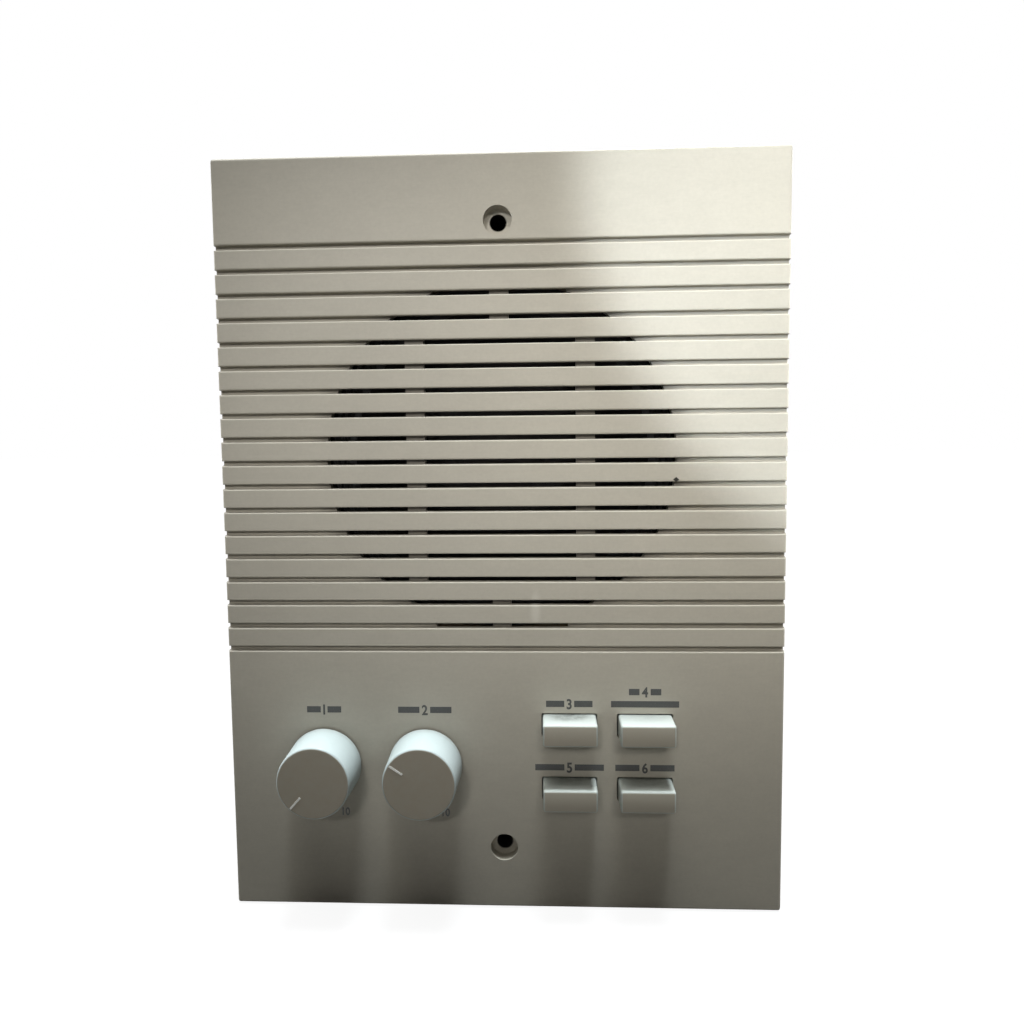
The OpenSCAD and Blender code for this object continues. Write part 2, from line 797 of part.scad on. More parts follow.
// Pan head screw, head up along its own +Z, with a cross recess
module pan_screw(shank_r, shank_l, head_r, head_t) {
    crown_r = head_t * 0.6;
    cross_l = head_r * 1.1;
    difference() {
        union() {
            translate([0, 0, -shank_l]) cylinder(r = shank_r, h = shank_l + head_t / 2, $fn = small_fn);
            rotate_extrude() polygon(concat([[0, 0], [head_r, 0]],
                arc(head_r - crown_r, head_t - crown_r, crown_r, 0, 90, 4), [[0, head_t]]));
        }
        for (a = [0, 90]) rotate(a) translate([-cross_l / 2, -cross_w / 2, head_t - cross_depth])
            cube([cross_l, cross_w, 2 * cross_depth]);
    }
}

module speaker_clip_screws() {
    color(steel) for (a = clip_angles)
        on_speaker(sheet_t + clip_t + 2 * seat) rotate(a) translate([clip_boss_at, 0, 0])
            pan_screw(clip_screw_r, clip_t + clip_screw_depth - screw_end_gap, clip_head_r, clip_head_t);
}

// Circuit board

// Pin positions of the switches and the potentiometers, as x and z
pin_places = concat(
    [for (col = [-1, 1], row = [-1, 1], i = [-1:1], j = [-1, 1])
        [button_at(col) + i * switch_pin_dx, row_at(row) + j * switch_pin_dz]],
    [for (x = [-left_knob_x, -right_knob_x], i = [-1:1])
        [x + i * pot_pin_pitch, knob_z - pot_pin_drop]]);

module circuit_board() {
    color([0.5, 0.38, 0.2]) difference() {
        translate([0, 0, board_mid_z]) from_front(board_y, board_back_y)
            polygon(round_rect(board_w, board_h, board_corner_r, 3));
        for (x = [-board_screw_x, board_screw_x], dz = [-board_screw_dz, board_screw_dz])
            facing_back(x, board_y - cut_past, board_mid_z + dz)
                cylinder(r = board_screw_r + screw_play, h = board_t + 2 * cut_past, $fn = small_fn);
        for (p = pin_places)
            facing_back(p[0], board_y - cut_past, p[1])
                cylinder(r = pin_r + pin_gap, h = board_t + 2 * cut_past, $fn = pin_fn);
    }
}

module board_screws() {
    color(steel) for (x = [-board_screw_x, board_screw_x], dz = [-board_screw_dz, board_screw_dz])
        facing_back(x, board_back_y + seat, board_mid_z + dz)
            pan_screw(board_screw_r, board_t + board_screw_depth - screw_end_gap,
                      board_head_r, board_head_t);
}

// Potentiometers and knobs

module pot_housing(x) {
    color(steel) {
        facing_back(x, board_y - pot_t, knob_z) difference() {
            union() {
                cylinder(d = pot_d, h = pot_t - pot_step_t - seat);
                translate([0, 0, pot_t - pot_step_t - bite])
                    cylinder(d = pot_d - 2 * pot_step_w, h = pot_step_t + bite - seat);
                // Foot that carries the three pins
                translate([-pot_pin_pitch - pot_foot_margin, 0, pot_t - pot_step_t])
                    cube([2 * (pot_pin_pitch + pot_foot_margin), pot_d / 2 + pot_foot_out,
                          pot_step_t - seat]);
            }
            translate([0, 0, -cut_past])
                cylinder(d = shaft_d + 2 * shaft_clearance, h = shaft_in_pot + cut_past + shaft_end_gap);
        }
        for (i = [-1:1]) facing_back(x + i * pot_pin_pitch, board_y - bite, knob_z - pot_pin_drop)
            cylinder(r = pin_r, h = board_t + pin_out + bite, $fn = pin_fn);
    }
}

module pot_bush(x) {
    color(brass) facing_back(x, bush_y, knob_z) difference() {
        cylinder(d = bush_d, h = bush_l - seat);
        translate([0, 0, -cut_past])
            cylinder(d = shaft_d + 2 * shaft_clearance, h = bush_l + 2 * cut_past);
    }
}

// Turned shaft with a flat on the part that the knob grips
module pot_shaft(x, angle) {
    total_l = shaft_end_y - (knob_base_y - knob_l + knob_face_t);
    color([0.8, 0.79, 0.75]) facing_front(x, shaft_end_y, knob_z) rotate(-angle) difference() {
        cylinder(d = shaft_d, h = total_l - slack);
        translate([-shaft_d, shaft_d / 2 - flat_d, total_l - bore_l - cut_past])
            cube([2 * shaft_d, shaft_d, bore_l + 2 * cut_past]);
    }
}

// Moulded knob: a skirt with a slight taper, a hub for the shaft and four webs
module knob(x, angle) {
    base_r = knob_base_d / 2;
    face_r = knob_d / 2;
    hub_top = knob_l - knob_face_t;
    color(button_colour) facing_front(x, knob_base_y, knob_z) rotate(-angle) difference() {
        union() {
            rotate_extrude($fn = 96) polygon(concat(
                [[0, hub_top], [base_r - knob_wall_t - knob_draft_w, hub_top],
                 [base_r - knob_wall_t, 0], [base_r, 0]],
                arc(face_r - knob_edge_r, knob_l - knob_edge_r, knob_edge_r, 2, 90, 5),
                [[0, knob_l]]));
            translate([0, 0, hub_top - bore_l]) cylinder(r = knob_hub_r, h = bore_l + bite);
            for (a = [45, 135]) rotate(a)
                translate([knob_web_end - base_r, -knob_web_t / 2, hub_top - bore_l / 2])
                    cube([2 * (base_r - knob_web_end), knob_web_t, bore_l / 2 + bite]);
        }
        difference() {
            translate([0, 0, hub_top - bore_l - cut_past])
                cylinder(r = shaft_d / 2 + pilot_gap, h = bore_l + cut_past);
            translate([-shaft_d, shaft_d / 2 - flat_d + pilot_gap, 0]) cube([2 * shaft_d, shaft_d, knob_l]);
        }
        translate([0, 0, knob_l - pointer_depth])
            pointer_bar(pointer_w + pointer_play, pointer_l + pointer_play);
    }
}

// The straight bar of a pointer, towards +Y of the knob
module pointer_bar(w, l) {
    outer = knob_d / 2 - pointer_rim_gap;
    translate([-w / 2, outer - pointer_l / 2 - l / 2, 0]) cube([w, l, pointer_depth + bite]);
}

module pointer(x, angle) {
    color([0.93, 0.93, 0.9]) facing_front(x, knob_base_y, knob_z) rotate(-angle) intersection() {
        translate([0, 0, knob_l - pointer_depth + seat]) pointer_bar(pointer_w, pointer_l);
        cylinder(r = knob_d, h = knob_l + pointer_proud);
    }
}

// Push buttons

function button_at(col) = button_mid_x + col * button_pitch_x / 2;
function row_at(row) = button_mid_z + row * button_pitch_z / 2;

module at_button(col, row) {
    translate([button_at(col), 0, row_at(row)]) children();
}

// Hollow cap with a flange behind the panel and a round boss for the plunger
module button_cap(col, row) {
    front_y = face_y - button_out;
    flange_front_y = back_y + button_rest_gap;
    lap = 2 * (button_gap + button_flange_w);
    color(button_colour) at_button(col, row) difference() {
        union() {
            difference() {
                union() {
                    intersection() {
                        from_front(front_y, button_back_y)
                            polygon(round_rect(button_w, button_h, button_edge_r, 3));
                        translate([0, front_y, -button_h]) linear_extrude(2 * button_h)
                            polygon(tray_profile(button_w, 4 * button_out, button_edge_r, 3));
                        translate([-button_w, front_y, 0]) rotate([90, 0, 90])
                            linear_extrude(2 * button_w)
                                rotate(-90) polygon(tray_profile(button_h, 4 * button_out, button_edge_r, 3));
                    }
                    from_front(flange_front_y, button_back_y)
                        polygon(round_rect(button_w + lap, button_h + lap, button_flange_r, 3));
                }
                from_front(front_y + button_wall_t, button_back_y + bite)
                    square([button_w - 2 * button_wall_t, button_h - 2 * button_wall_t], center = true);
            }
            intersection() {
                facing_front(0, button_back_y, 0)
                    cylinder(r = button_boss_r, h = button_back_y - front_y - button_wall_t + bite);
                from_front(front_y + bite, button_back_y)
                    square([button_w, button_h - 2 * button_wall_t + bite], center = true);
            }
        }
        from_front(button_back_y - plunger_grip, button_back_y + bite)
            square([plunger_w + 2 * pilot_gap, plunger_h + 2 * pilot_gap], center = true);
    }
}

module plunger(col, row) {
    color([0.86, 0.85, 0.8]) at_button(col, row)
        from_front(button_back_y - plunger_grip + seat, switch_y + plunger_reach)
            square([plunger_w, plunger_h], center = true);
}

// Compression spring as one helical tube, between the cap and the switch
function wire_centre(k) = let (a = 360 * k / rings_per_curl, rise = spring_l - 2 * spring_wire_r)
    [spring_r * cos(a), spring_r * sin(a),
     spring_wire_r + rise * k / (spring_curls * rings_per_curl)];
function wire_ring(k) = let (c = wire_centre(k), a = 360 * k / rings_per_curl)
    [for (j = [0:wire_sides - 1]) let (b = 360 * j / wire_sides, o = spring_wire_r * cos(b))
        [c[0] + o * cos(a), c[1] + o * sin(a), c[2] + spring_wire_r * sin(b)]];
spring_rings = spring_curls * rings_per_curl;
spring_gap = min([for (i = [0:spring_rings], j = [i + rings_per_curl / 2:1:spring_rings])
    norm(wire_centre(i) - wire_centre(j)) - 2 * spring_wire_r]);
echo(least_gap_between_spring_curls = spring_gap);

module return_spring(col, row) {
    points = [for (k = [0:spring_rings]) each wire_ring(k)];
    sides = [for (k = [0:spring_rings - 1], j = [0:wire_sides - 1])
        let (a = k * wire_sides + j, b = k * wire_sides + (j + 1) % wire_sides)
        each [[a, a + wire_sides, b], [b, a + wire_sides, b + wire_sides]]];
    last = spring_rings * wire_sides;
    caps = [for (j = [1:wire_sides - 2]) each [[0, j, j + 1], [last, last + j + 1, last + j]]];
    color(steel) at_button(col, row) facing_back(0, button_back_y, 0)
        polyhedron(points = points, faces = concat(sides, caps));
}

module push_switch(col, row) {
    socket_d = plunger_reach + button_travel + slack;
    color(black) at_button(col, row) {
        difference() {
            from_front(switch_y, board_y - seat) square([switch_w, switch_h], center = true);
            from_front(switch_y - cut_past, switch_y + socket_d)
                square([plunger_w + 2 * plunger_gap, plunger_h + 2 * plunger_gap], center = true);
        }
        for (i = [-1:1], j = [-1, 1])
            facing_back(i * switch_pin_dx, board_y - bite, j * switch_pin_dz)
                cylinder(r = pin_r, h = board_t + pin_out + bite, $fn = pin_fn);
    }
}

// Parts on the back of the board

module at_block() {
    on_board_back(block_x, block_dz) children();
}

// Barrier strip: one bay for each wire, open to the back and below
module terminal_block() {
    color(black) at_block() difference() {
        translate([-block_w / 2, -block_h / 2, 0]) cube([block_w, block_h, block_t]);
        for (i = [0:way_count - 1])
            translate([(i - way_count / 2) * way_pitch + block_wall_t / 2,
                       block_sill_h - block_h / 2, block_floor_t])
                cube([way_pitch - block_wall_t, block_h, block_t]);
    }
}

module terminal_screws() {
    color(steel) at_block() for (i = [0:way_count - 1])
        translate([(i - way_count / 2 + 0.5) * way_pitch, block_sill_h / 2, block_floor_t + seat])
            difference() {
                union() {
                    translate([-plate_w / 2, -plate_h / 2 + screw_play, 0])
                        cube([plate_w, plate_h, wire_plate_t]);
                    cylinder(r = terminal_screw_r, h = terminal_screw_l, $fn = small_fn);
                }
                translate([-way_pitch / 2, -terminal_slot_w / 2, terminal_screw_l - terminal_slot_t])
                    cube([way_pitch, terminal_slot_w, terminal_screw_l]);
            }
}

module on_board_back(x, dz) {
    facing_back(x, board_back_y + seat, board_mid_z + dz) children();
}

// Iron core of the line transformer, in two legs round the coil
module transformer_core() {
    color(iron) on_board_back(core_x, core_dz) difference() {
        translate([-core_w / 2, -core_h / 2, core_lift]) cube([core_w, core_h, core_t]);
        for (s = [-1, 1])
            translate([core_leg_w - core_w / 2, s * core_h / 4 - core_window_h / 2, 0])
                cube([core_w - 2 * core_leg_w, core_window_h, core_t + core_lift + cut_past]);
    }
}

// Moulded former and winding that fill the core's windows and stand proud of it
module transformer_bobbin() {
    w = core_w - 2 * (core_leg_w + bobbin_gap);
    coil_h = core_window_h - 2 * bobbin_gap;
    centre_h = core_h / 2 - core_window_h + 2 * bobbin_gap;
    slot_d = core_t + 2 * bobbin_gap;
    color([0.62, 0.5, 0.22]) on_board_back(core_x, core_dz) difference() {
        translate([-w / 2, -core_h / 4 - coil_h / 2, 0])
            cube([w, core_h / 2 + coil_h, core_t + core_lift + bobbin_out]);
        // Passage of the core's middle leg
        translate([-w, -centre_h / 2, core_lift - bobbin_gap]) cube([2 * w, centre_h, slot_d]);
    }
}

module electrolytic_capacitors() {
    e = electrolytic_edge_r;
    bead = electrolytic_bead_z;
    color([0.14, 0.2, 0.32]) for (c = electrolytic_sizes) on_board_back(c[0], c[1])
        rotate_extrude($fn = 48) polygon(concat(
            [[0, 0], [c[2] - e, 0], [c[2], e], [c[2], bead], [c[2] - e, bead + e],
             [c[2] - e, bead + e + electrolytic_bead_t], [c[2], bead + 2 * e + electrolytic_bead_t]],
            arc(c[2] - e, c[3] - e, e, 0, 90, 4),
            [[c[2] - electrolytic_rim_w, c[3]], [c[2] - electrolytic_rim_w, c[3] - electrolytic_bead_t],
             [0, c[3] - electrolytic_bead_t]]));
}

module film_capacitors() {
    color([0.55, 0.2, 0.12]) for (c = film_sizes) on_board_back(c[0], c[1])
        linear_extrude(film_t) polygon(round_rect(c[2], c[3], film_corner_r, 3));
}

// Axial resistors, each with two bent leads
module resistors() {
    lift = resistor_r + resistor_lift;
    neck_r = resistor_r - resistor_neck;
    slope = resistor_cap_slope;
    cap = resistor_cap_l;
    color([0.76, 0.66, 0.5]) for (i = [0:resistor_count - 1])
        on_board_back(resistor_x + i * resistor_pitch, resistor_dz) {
            translate([0, resistor_l / 2, lift]) rotate([90, 0, 0]) rotate_extrude($fn = small_fn)
                polygon([[0, 0], [neck_r, 0], [resistor_r, slope], [resistor_r, cap],
                    [neck_r, cap + slope], [neck_r, resistor_l - cap - slope],
                    [resistor_r, resistor_l - cap], [resistor_r, resistor_l - slope],
                    [neck_r, resistor_l], [0, resistor_l]]);
            translate([0, lead_span / 2, lift]) rotate([90, 0, 0])
                cylinder(r = lead_r, h = lead_span, $fn = pin_fn);
            for (s = [-1, 1]) translate([0, s * (lead_span / 2 - lead_r), 0])
                cylinder(r = lead_r, h = lift, $fn = pin_fn);
        }
}

module amplifier_chip() {
    color(black) on_board_back(chip_x, resistor_dz) {
        difference() {
            translate([-chip_w / 2, -chip_h / 2, chip_lift]) cube([chip_w, chip_h, chip_t]);
            translate([-chip_w / 2, 0, chip_lift + chip_t - chip_notch_t])
                cylinder(r = chip_notch_r, h = chip_t, $fn = small_fn);
        }
        // Four legs on each side
        for (i = [0:3], s = [-1, 1])
            translate([(i - 1.5) * chip_leg_pitch - chip_leg_w / 2,
                       s * (chip_h / 2 + chip_leg_t / 3) - chip_leg_t / 2, 0])
                cube([chip_leg_w, chip_leg_t, chip_t / 2 + chip_lift]);
    }
}

module left_pot_housing() { pot_housing(-left_knob_x); }
module left_pot_bush() { pot_bush(-left_knob_x); }
module left_shaft() { pot_shaft(-left_knob_x, left_pointer_angle); }
module left_knob() { knob(-left_knob_x, left_pointer_angle); }
module left_pointer() { pointer(-left_knob_x, left_pointer_angle); }
module right_pot_housing() { pot_housing(-right_knob_x); }
module right_pot_bush() { pot_bush(-right_knob_x); }
module right_shaft() { pot_shaft(-right_knob_x, right_pointer_angle); }
module right_knob() { knob(-right_knob_x, right_pointer_angle); }
module right_pointer() { pointer(-right_knob_x, right_pointer_angle); }
module top_left_button() { button_cap(-1, 1); }
module top_left_plunger() { plunger(-1, 1); }
module top_left_spring() { return_spring(-1, 1); }
module top_left_switch() { push_switch(-1, 1); }
module top_right_button() { button_cap(1, 1); }
module top_right_plunger() { plunger(1, 1); }
module top_right_spring() { return_spring(1, 1); }
module top_right_switch() { push_switch(1, 1); }
module bottom_left_button() { button_cap(-1, -1); }
module bottom_left_plunger() { plunger(-1, -1); }
module bottom_left_spring() { return_spring(-1, -1); }
module bottom_left_switch() { push_switch(-1, -1); }
module bottom_right_button() { button_cap(1, -1); }
module bottom_right_plunger() { plunger(1, -1); }
module bottom_right_spring() { return_spring(1, -1); }
module bottom_right_switch() { push_switch(1, -1); }

front_panel();
speaker_gasket();
speaker_frame();
cone_surround();
cone_damper();
speaker_cone();
dust_cap();
coil_former();
coil_winding();
front_plate();
ring_magnet();
back_plate();
pole_piece();
speaker_terminal_board();
speaker_terminal_tags();
speaker_clips();
speaker_clip_screws();
circuit_board();
board_screws();
left_pot_housing();
left_pot_bush();
left_shaft();
left_knob();
left_pointer();
right_pot_housing();
right_pot_bush();
right_shaft();
right_knob();
right_pointer();
top_left_button();
top_left_plunger();
top_left_spring();
top_left_switch();
top_right_button();
top_right_plunger();
top_right_spring();
top_right_switch();
bottom_left_button();
bottom_left_plunger();
bottom_left_spring();
bottom_left_switch();
bottom_right_button();
bottom_right_plunger();
bottom_right_spring();
bottom_right_switch();
terminal_block();
terminal_screws();
transformer_core();
transformer_bobbin();
electrolytic_capacitors();
film_capacitors();
resistors();
amplifier_chip();
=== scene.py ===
import json
import math

import bmesh
import bpy
from mathutils import Matrix, Vector

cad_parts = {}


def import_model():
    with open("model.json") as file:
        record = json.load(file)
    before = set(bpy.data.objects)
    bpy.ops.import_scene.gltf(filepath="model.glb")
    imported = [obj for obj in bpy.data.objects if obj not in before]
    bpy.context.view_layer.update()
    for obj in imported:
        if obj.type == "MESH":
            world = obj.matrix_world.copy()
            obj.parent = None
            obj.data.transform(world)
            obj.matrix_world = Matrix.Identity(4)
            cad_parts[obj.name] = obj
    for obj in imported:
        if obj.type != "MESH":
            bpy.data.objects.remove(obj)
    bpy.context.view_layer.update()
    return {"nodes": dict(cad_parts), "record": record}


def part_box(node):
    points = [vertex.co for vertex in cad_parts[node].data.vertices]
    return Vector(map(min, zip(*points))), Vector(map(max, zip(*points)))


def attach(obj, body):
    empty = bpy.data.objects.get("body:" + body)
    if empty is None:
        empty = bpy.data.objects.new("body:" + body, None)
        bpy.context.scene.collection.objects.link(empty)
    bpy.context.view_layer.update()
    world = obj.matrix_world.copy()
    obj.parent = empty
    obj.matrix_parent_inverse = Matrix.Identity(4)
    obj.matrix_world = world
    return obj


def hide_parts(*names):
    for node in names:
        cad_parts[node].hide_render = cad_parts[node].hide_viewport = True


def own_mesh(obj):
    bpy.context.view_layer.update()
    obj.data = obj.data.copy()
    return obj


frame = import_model()
nodes = frame["nodes"]

MM = 0.001
CORNERS = ("top_left", "top_right", "bottom_left", "bottom_right")
SIDES = ("left", "right")

panel_low, panel_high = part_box("front_panel")
board_low, board_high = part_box("circuit_board")
face_y = panel_low.y
board_back_y = board_high.y


def middle(node):
    """The centre of a node's box."""
    low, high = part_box(node)
    return (low + high) / 2


# Finishes: the tools that build them

class Signal:
    """A value that a node tree works out over a surface. Arithmetic on it adds Math nodes."""

    def __init__(self, wiring, socket):
        self.wiring = wiring
        self.socket = socket

    def math(self, operation, *values):
        return self.wiring.node("ShaderNodeMath", {"operation": operation}, dict(enumerate(values)))

    def __add__(self, other):
        return self.math("ADD", self, other)

    def __sub__(self, other):
        return self.math("SUBTRACT", self, other)

    def __rsub__(self, other):
        return self.math("SUBTRACT", other, self)

    def __mul__(self, other):
        return self.math("MULTIPLY", self, other)

    def __abs__(self):
        return self.math("ABSOLUTE", self)

    __radd__ = __add__
    __rmul__ = __mul__

    def root(self):
        return self.math("SQRT", self)

    def lower(self, other):
        return self.math("MINIMUM", self, other)

    def higher(self, other):
        return self.math("MAXIMUM", self, other)

    def waves(self, pitch):
        """A wave from -1 to 1 that repeats after every pitch of this length."""
        return self.math("SINE", self * (2 * math.pi / pitch))

    def rise(self, start, end):
        """0 up to start and 1 from end on, with a smooth rise between. A start above the end falls."""
        return self.wiring.node(
            "ShaderNodeMapRange", {"interpolation_type": "SMOOTHSTEP"},
            {"Value": self, "From Min": start, "From Max": end}, "Result")

    def within(self, limit, blur):
        """1 where the value is below the limit and 0 above, with a border of twice the blur."""
        return self.rise(limit + blur, limit - blur)


class Wiring:
    """Makes and links the nodes of one node tree."""

    def __init__(self, tree):
        self.tree = tree

    def node(self, kind, settings, inputs, output=0):
        made = self.tree.nodes.new(kind)
        for name, value in settings.items():
            if name == "stops":
                self.set_stops(made.color_ramp, value)
            else:
                setattr(made, name, value)
        for name, value in inputs.items():
            self.feed(self.find(made.inputs, name), value)
        if made.outputs:
            return Signal(self, self.find(made.outputs, output))

    @staticmethod
    def set_stops(ramp, stops):
        """Gives a ramp flat bands of colour, each from its own position on."""
        ramp.interpolation = "CONSTANT"
        for extra in (position for position, _ in stops[2:]):
            ramp.elements.new(extra)
        for element, (position, colour) in zip(ramp.elements, stops):
            element.position = position
            element.color = (*colour, 1)

    @staticmethod
    def find(sockets, name):
        if isinstance(name, int):
            return sockets[name]
        return next(s for s in sockets if s.identifier == name)

    def feed(self, socket, value):
        if isinstance(value, Signal):
            self.tree.links.new(value.socket, socket)
        elif socket.type == "RGBA":
            socket.default_value = (*value, 1)
        else:
            socket.default_value = value

    def mixed(self, one, other, share):
        return self.node("ShaderNodeMix", {"data_type": "RGBA"}, {
            "Factor_Float": share, "A_Color": one, "B_Color": other}, "Result_Color")


class Finish(Wiring):
    """A material while it is built: its colour, roughness and relief, and the patterns that feed them."""

    def __init__(self, name, colour, roughness, metallic=0.0, fixed=None):
        self.material = bpy.data.materials.new(name)
        self.material.use_nodes = True
        super().__init__(self.material.node_tree)
        self.shader = self.tree.nodes["Principled BSDF"]
        for socket, value in (fixed or {}).items():
            self.shader.inputs[socket].default_value = value
        self.colour = colour
        self.roughness = roughness
        self.metallic = metallic
        self.normal = None
        self.place = self.node("ShaderNodeTexCoord", {}, {}, "Object")

    def axes(self):
        """The x, y and z of the point, in metres in the shared frame."""
        split = self.node("ShaderNodeSeparateXYZ", {}, {"Vector": self.place})
        sockets = split.socket.node.outputs
        return [Signal(self, sockets[axis]) for axis in "XYZ"]

    def distance(self, x=None, y=None, z=None):
        """Distance from a line or point: the axes left out run free."""
        wanted = [value for value in zip(self.axes(), (x, y, z)) if value[1] is not None]
        squares = [(axis - at) * (axis - at) for axis, at in wanted]
        return sum(squares[1:], squares[0]).root()

    def noise(self, size, stretch=(1, 1, 1), detail=2.0, roughness=0.5, shift=0.0):
        """Soft noise with features about size long, drawn out by stretch along each axis."""
        place = self.node("ShaderNodeMapping", {}, {
            "Vector": self.place, "Location": (shift, shift, shift),
            "Scale": tuple(1 / s for s in stretch)}, "Vector")
        return self.node("ShaderNodeTexNoise", {}, {
            "Vector": place, "Scale": 1 / size, "Detail": detail, "Roughness": roughness}, "Fac")

    def paint(self, colour, share):
        """Covers the colour so far by a share of another."""
        self.colour = self.mixed(self.colour, colour, share)

    def plate(self, colour, share):
        """Covers the surface with bare metal of another colour where the share is 1."""
        self.paint(colour, share)
        self.metallic = share * 1.0

    def vary(self, pattern, amount):
        """Makes the colour lighter and darker by amount as the pattern goes from 0 to 1."""
        scale = (pattern - 0.5) * (2 * amount) + 1
        self.colour = self.node("ShaderNodeVectorMath", {"operation": "SCALE"},
                                {"Vector": self.colour, "Scale": scale}, "Vector")

    def emboss(self, height, depth):
        """Raises the surface by up to depth as the height goes from 0 to 1."""
        below = {} if self.normal is None else {"Normal": self.normal}
        relief = {"Distance": depth, "Height": height, **below}
        self.normal = self.node("ShaderNodeBump", {}, relief, "Normal")

    def done(self):
        self.feed(self.shader.inputs["Base Color"], self.colour)
        self.feed(self.shader.inputs["Roughness"], self.roughness)
        self.feed(self.shader.inputs["Metallic"], self.metallic)
        if self.normal is not None:
            self.feed(self.shader.inputs["Normal"], self.normal)
        return self.material


# Finishes: moulded plastics of the front

# Dark colours for grime and soot, also used as painted shade in recesses and round the knobs
SHADE_AND_GRIME = (0.115, 0.088, 0.062)
SOOT_AND_SHADE = (0.045, 0.038, 0.030)
SCREW_HOLE_Z = 101.6 * MM
SCREW_HOLE_R = 2.6 * MM
SCREW_SEAT_D = 3.6 * MM
GROOVE_D = 2.2 * MM
GROOVES_LOW = -37 * MM
GROOVES_HIGH = 97 * MM
PANEL_T = 2.6 * MM
SLOTS_R = 54 * MM
NICK = (55.7 * MM, 20.0 * MM)
GLARE_SPOT = (10.9 * MM, -21.5 * MM)
PIN_MARKS = [(x * MM, z * MM) for x in (-72, 72) for z in (-108, 110)]
PIN_MARK_R = 3.0 * MM


def panel_plastic():
    """Warm light grey moulding with fine level grain, dust and painted shade in the grooves, a painted
    highlight on their edges, painted shade round the knobs and a painted glare across three bars.
    """
    finish = Finish("panel_plastic", (0.500, 0.474, 0.406), 0.46, fixed={"Specular IOR Level": 0.2})
    x, y, z = finish.axes()
    grain = finish.noise(0.35 * MM, stretch=(8, 1, 1), detail=3)
    texture = finish.noise(0.45 * MM, detail=2)
    finish.vary(finish.noise(34 * MM, detail=2), 0.045)
    finish.vary(finish.noise(3.2 * MM, stretch=(2.5, 1, 1), detail=4, roughness=0.6), 0.055)
    finish.vary(finish.noise(1.1 * MM, detail=3, roughness=0.6, shift=0.9), 0.060)
    finish.vary(grain, 0.035)
    grooved = z.rise(GROOVES_LOW, GROOVES_LOW + 1 * MM) * z.rise(GROOVES_HIGH, GROOVES_HIGH - 1 * MM)
    # The rounded edges of the grooves are painted paler: a painted highlight where they catch the light
    # from above
    edge_starts = y.rise(face_y + 0.02 * MM, face_y + 0.12 * MM)
    edge = edge_starts * y.rise(face_y + 0.60 * MM, face_y + 0.35 * MM)
    finish.paint((0.70, 0.67, 0.59), edge * grooved * (0.45 + 0.5 * finish.noise(5 * MM)))
    # The floors of the grooves are painted darker, partly dust and partly painted shade, and darkest next
    # to the slots, where the darkening is painted shade
    floor_y = face_y + GROOVE_D
    in_front = y.rise(floor_y + 0.6 * MM, floor_y + 0.3 * MM)
    inboard = abs(x).rise(panel_high.x - 0.02 * MM, panel_high.x - 0.10 * MM)
    shaded_groove_floor = y.rise(face_y + 0.5 * MM, face_y + 2.0 * MM) * in_front * inboard
    dust = 0.08 + 0.28 * finish.noise(6 * MM, stretch=(4, 1, 1))
    finish.paint(SHADE_AND_GRIME, shaded_groove_floor * grooved * dust)
    slots = middle("speaker_gasket")
    near_slots = finish.distance(x=slots.x, z=slots.z).rise(SLOTS_R + 10 * MM, SLOTS_R)
    slot_shade = 0.48 + 0.35 * finish.noise(9 * MM, stretch=(3, 1, 1), shift=0.1)
    finish.paint(SOOT_AND_SHADE, shaded_groove_floor * near_slots * slot_shade)
    # The bores of the screw holes are painted near black: painted shade inside the holes
    for hole_z in (-SCREW_HOLE_Z, SCREW_HOLE_Z):
        bore = finish.distance(x=0.0, z=hole_z).within(SCREW_HOLE_R + 0.2 * MM, 0.1 * MM)
        below_seat = y.rise(face_y + SCREW_SEAT_D, face_y + SCREW_SEAT_D + 0.7 * MM)
        finish.paint((0.010, 0.009, 0.008), bore * below_seat)
    # A darker ring is painted around each knob: painted shade round its base, with a little grime
    for side in SIDES:
        knob = middle(side + "_knob")
        ring = finish.distance(x=knob.x, z=knob.z)
        ring_shade_and_grime = ring.rise(19 * MM, 12 * MM) * y.rise(face_y + 0.4 * MM, face_y + 0.1 * MM)
        finish.paint(SHADE_AND_GRIME, ring_shade_and_grime * (0.10 + 0.12 * finish.noise(5 * MM)))
    # A nick in one bar, painted near black as the painted shade inside it, and a pale spot across three
    # bars, a painted glare
    nick = (abs(x - NICK[0]) + 1.2 * abs(z - NICK[1])).within(1.0 * MM, 0.2 * MM)
    finish.paint((0.02, 0.018, 0.015), nick * y.rise(face_y + 0.9 * MM, face_y + 0.7 * MM))
    across = (x - GLARE_SPOT[0]) * (x - GLARE_SPOT[0])
    along = (z - GLARE_SPOT[1]) * (z - GLARE_SPOT[1])
    painted_glare = (across + along * 0.08).root().rise(2.4 * MM, 0.3 * MM)
    finish.paint((0.72, 0.70, 0.63), painted_glare * 0.45)
    # Round marks of the mould's pins on the inside
    inside = y.rise(face_y + PANEL_T, face_y + PANEL_T + 0.3 * MM)
    for pin_x, pin_z in PIN_MARKS:
        pin = finish.distance(x=pin_x, z=pin_z)
        finish.emboss(inside * pin.rise(PIN_MARK_R + 0.1 * MM, PIN_MARK_R), 0.15 * MM)
        finish.vary(inside * pin.rise(PIN_MARK_R + 0.6 * MM, PIN_MARK_R) * 0.5 + 0.5, 0.05)
    finish.roughness = 0.40 + 0.14 * texture - 0.08 * edge
    finish.emboss(texture, 0.012 * MM)
    finish.emboss(grain, 0.010 * MM)
    return finish.done()


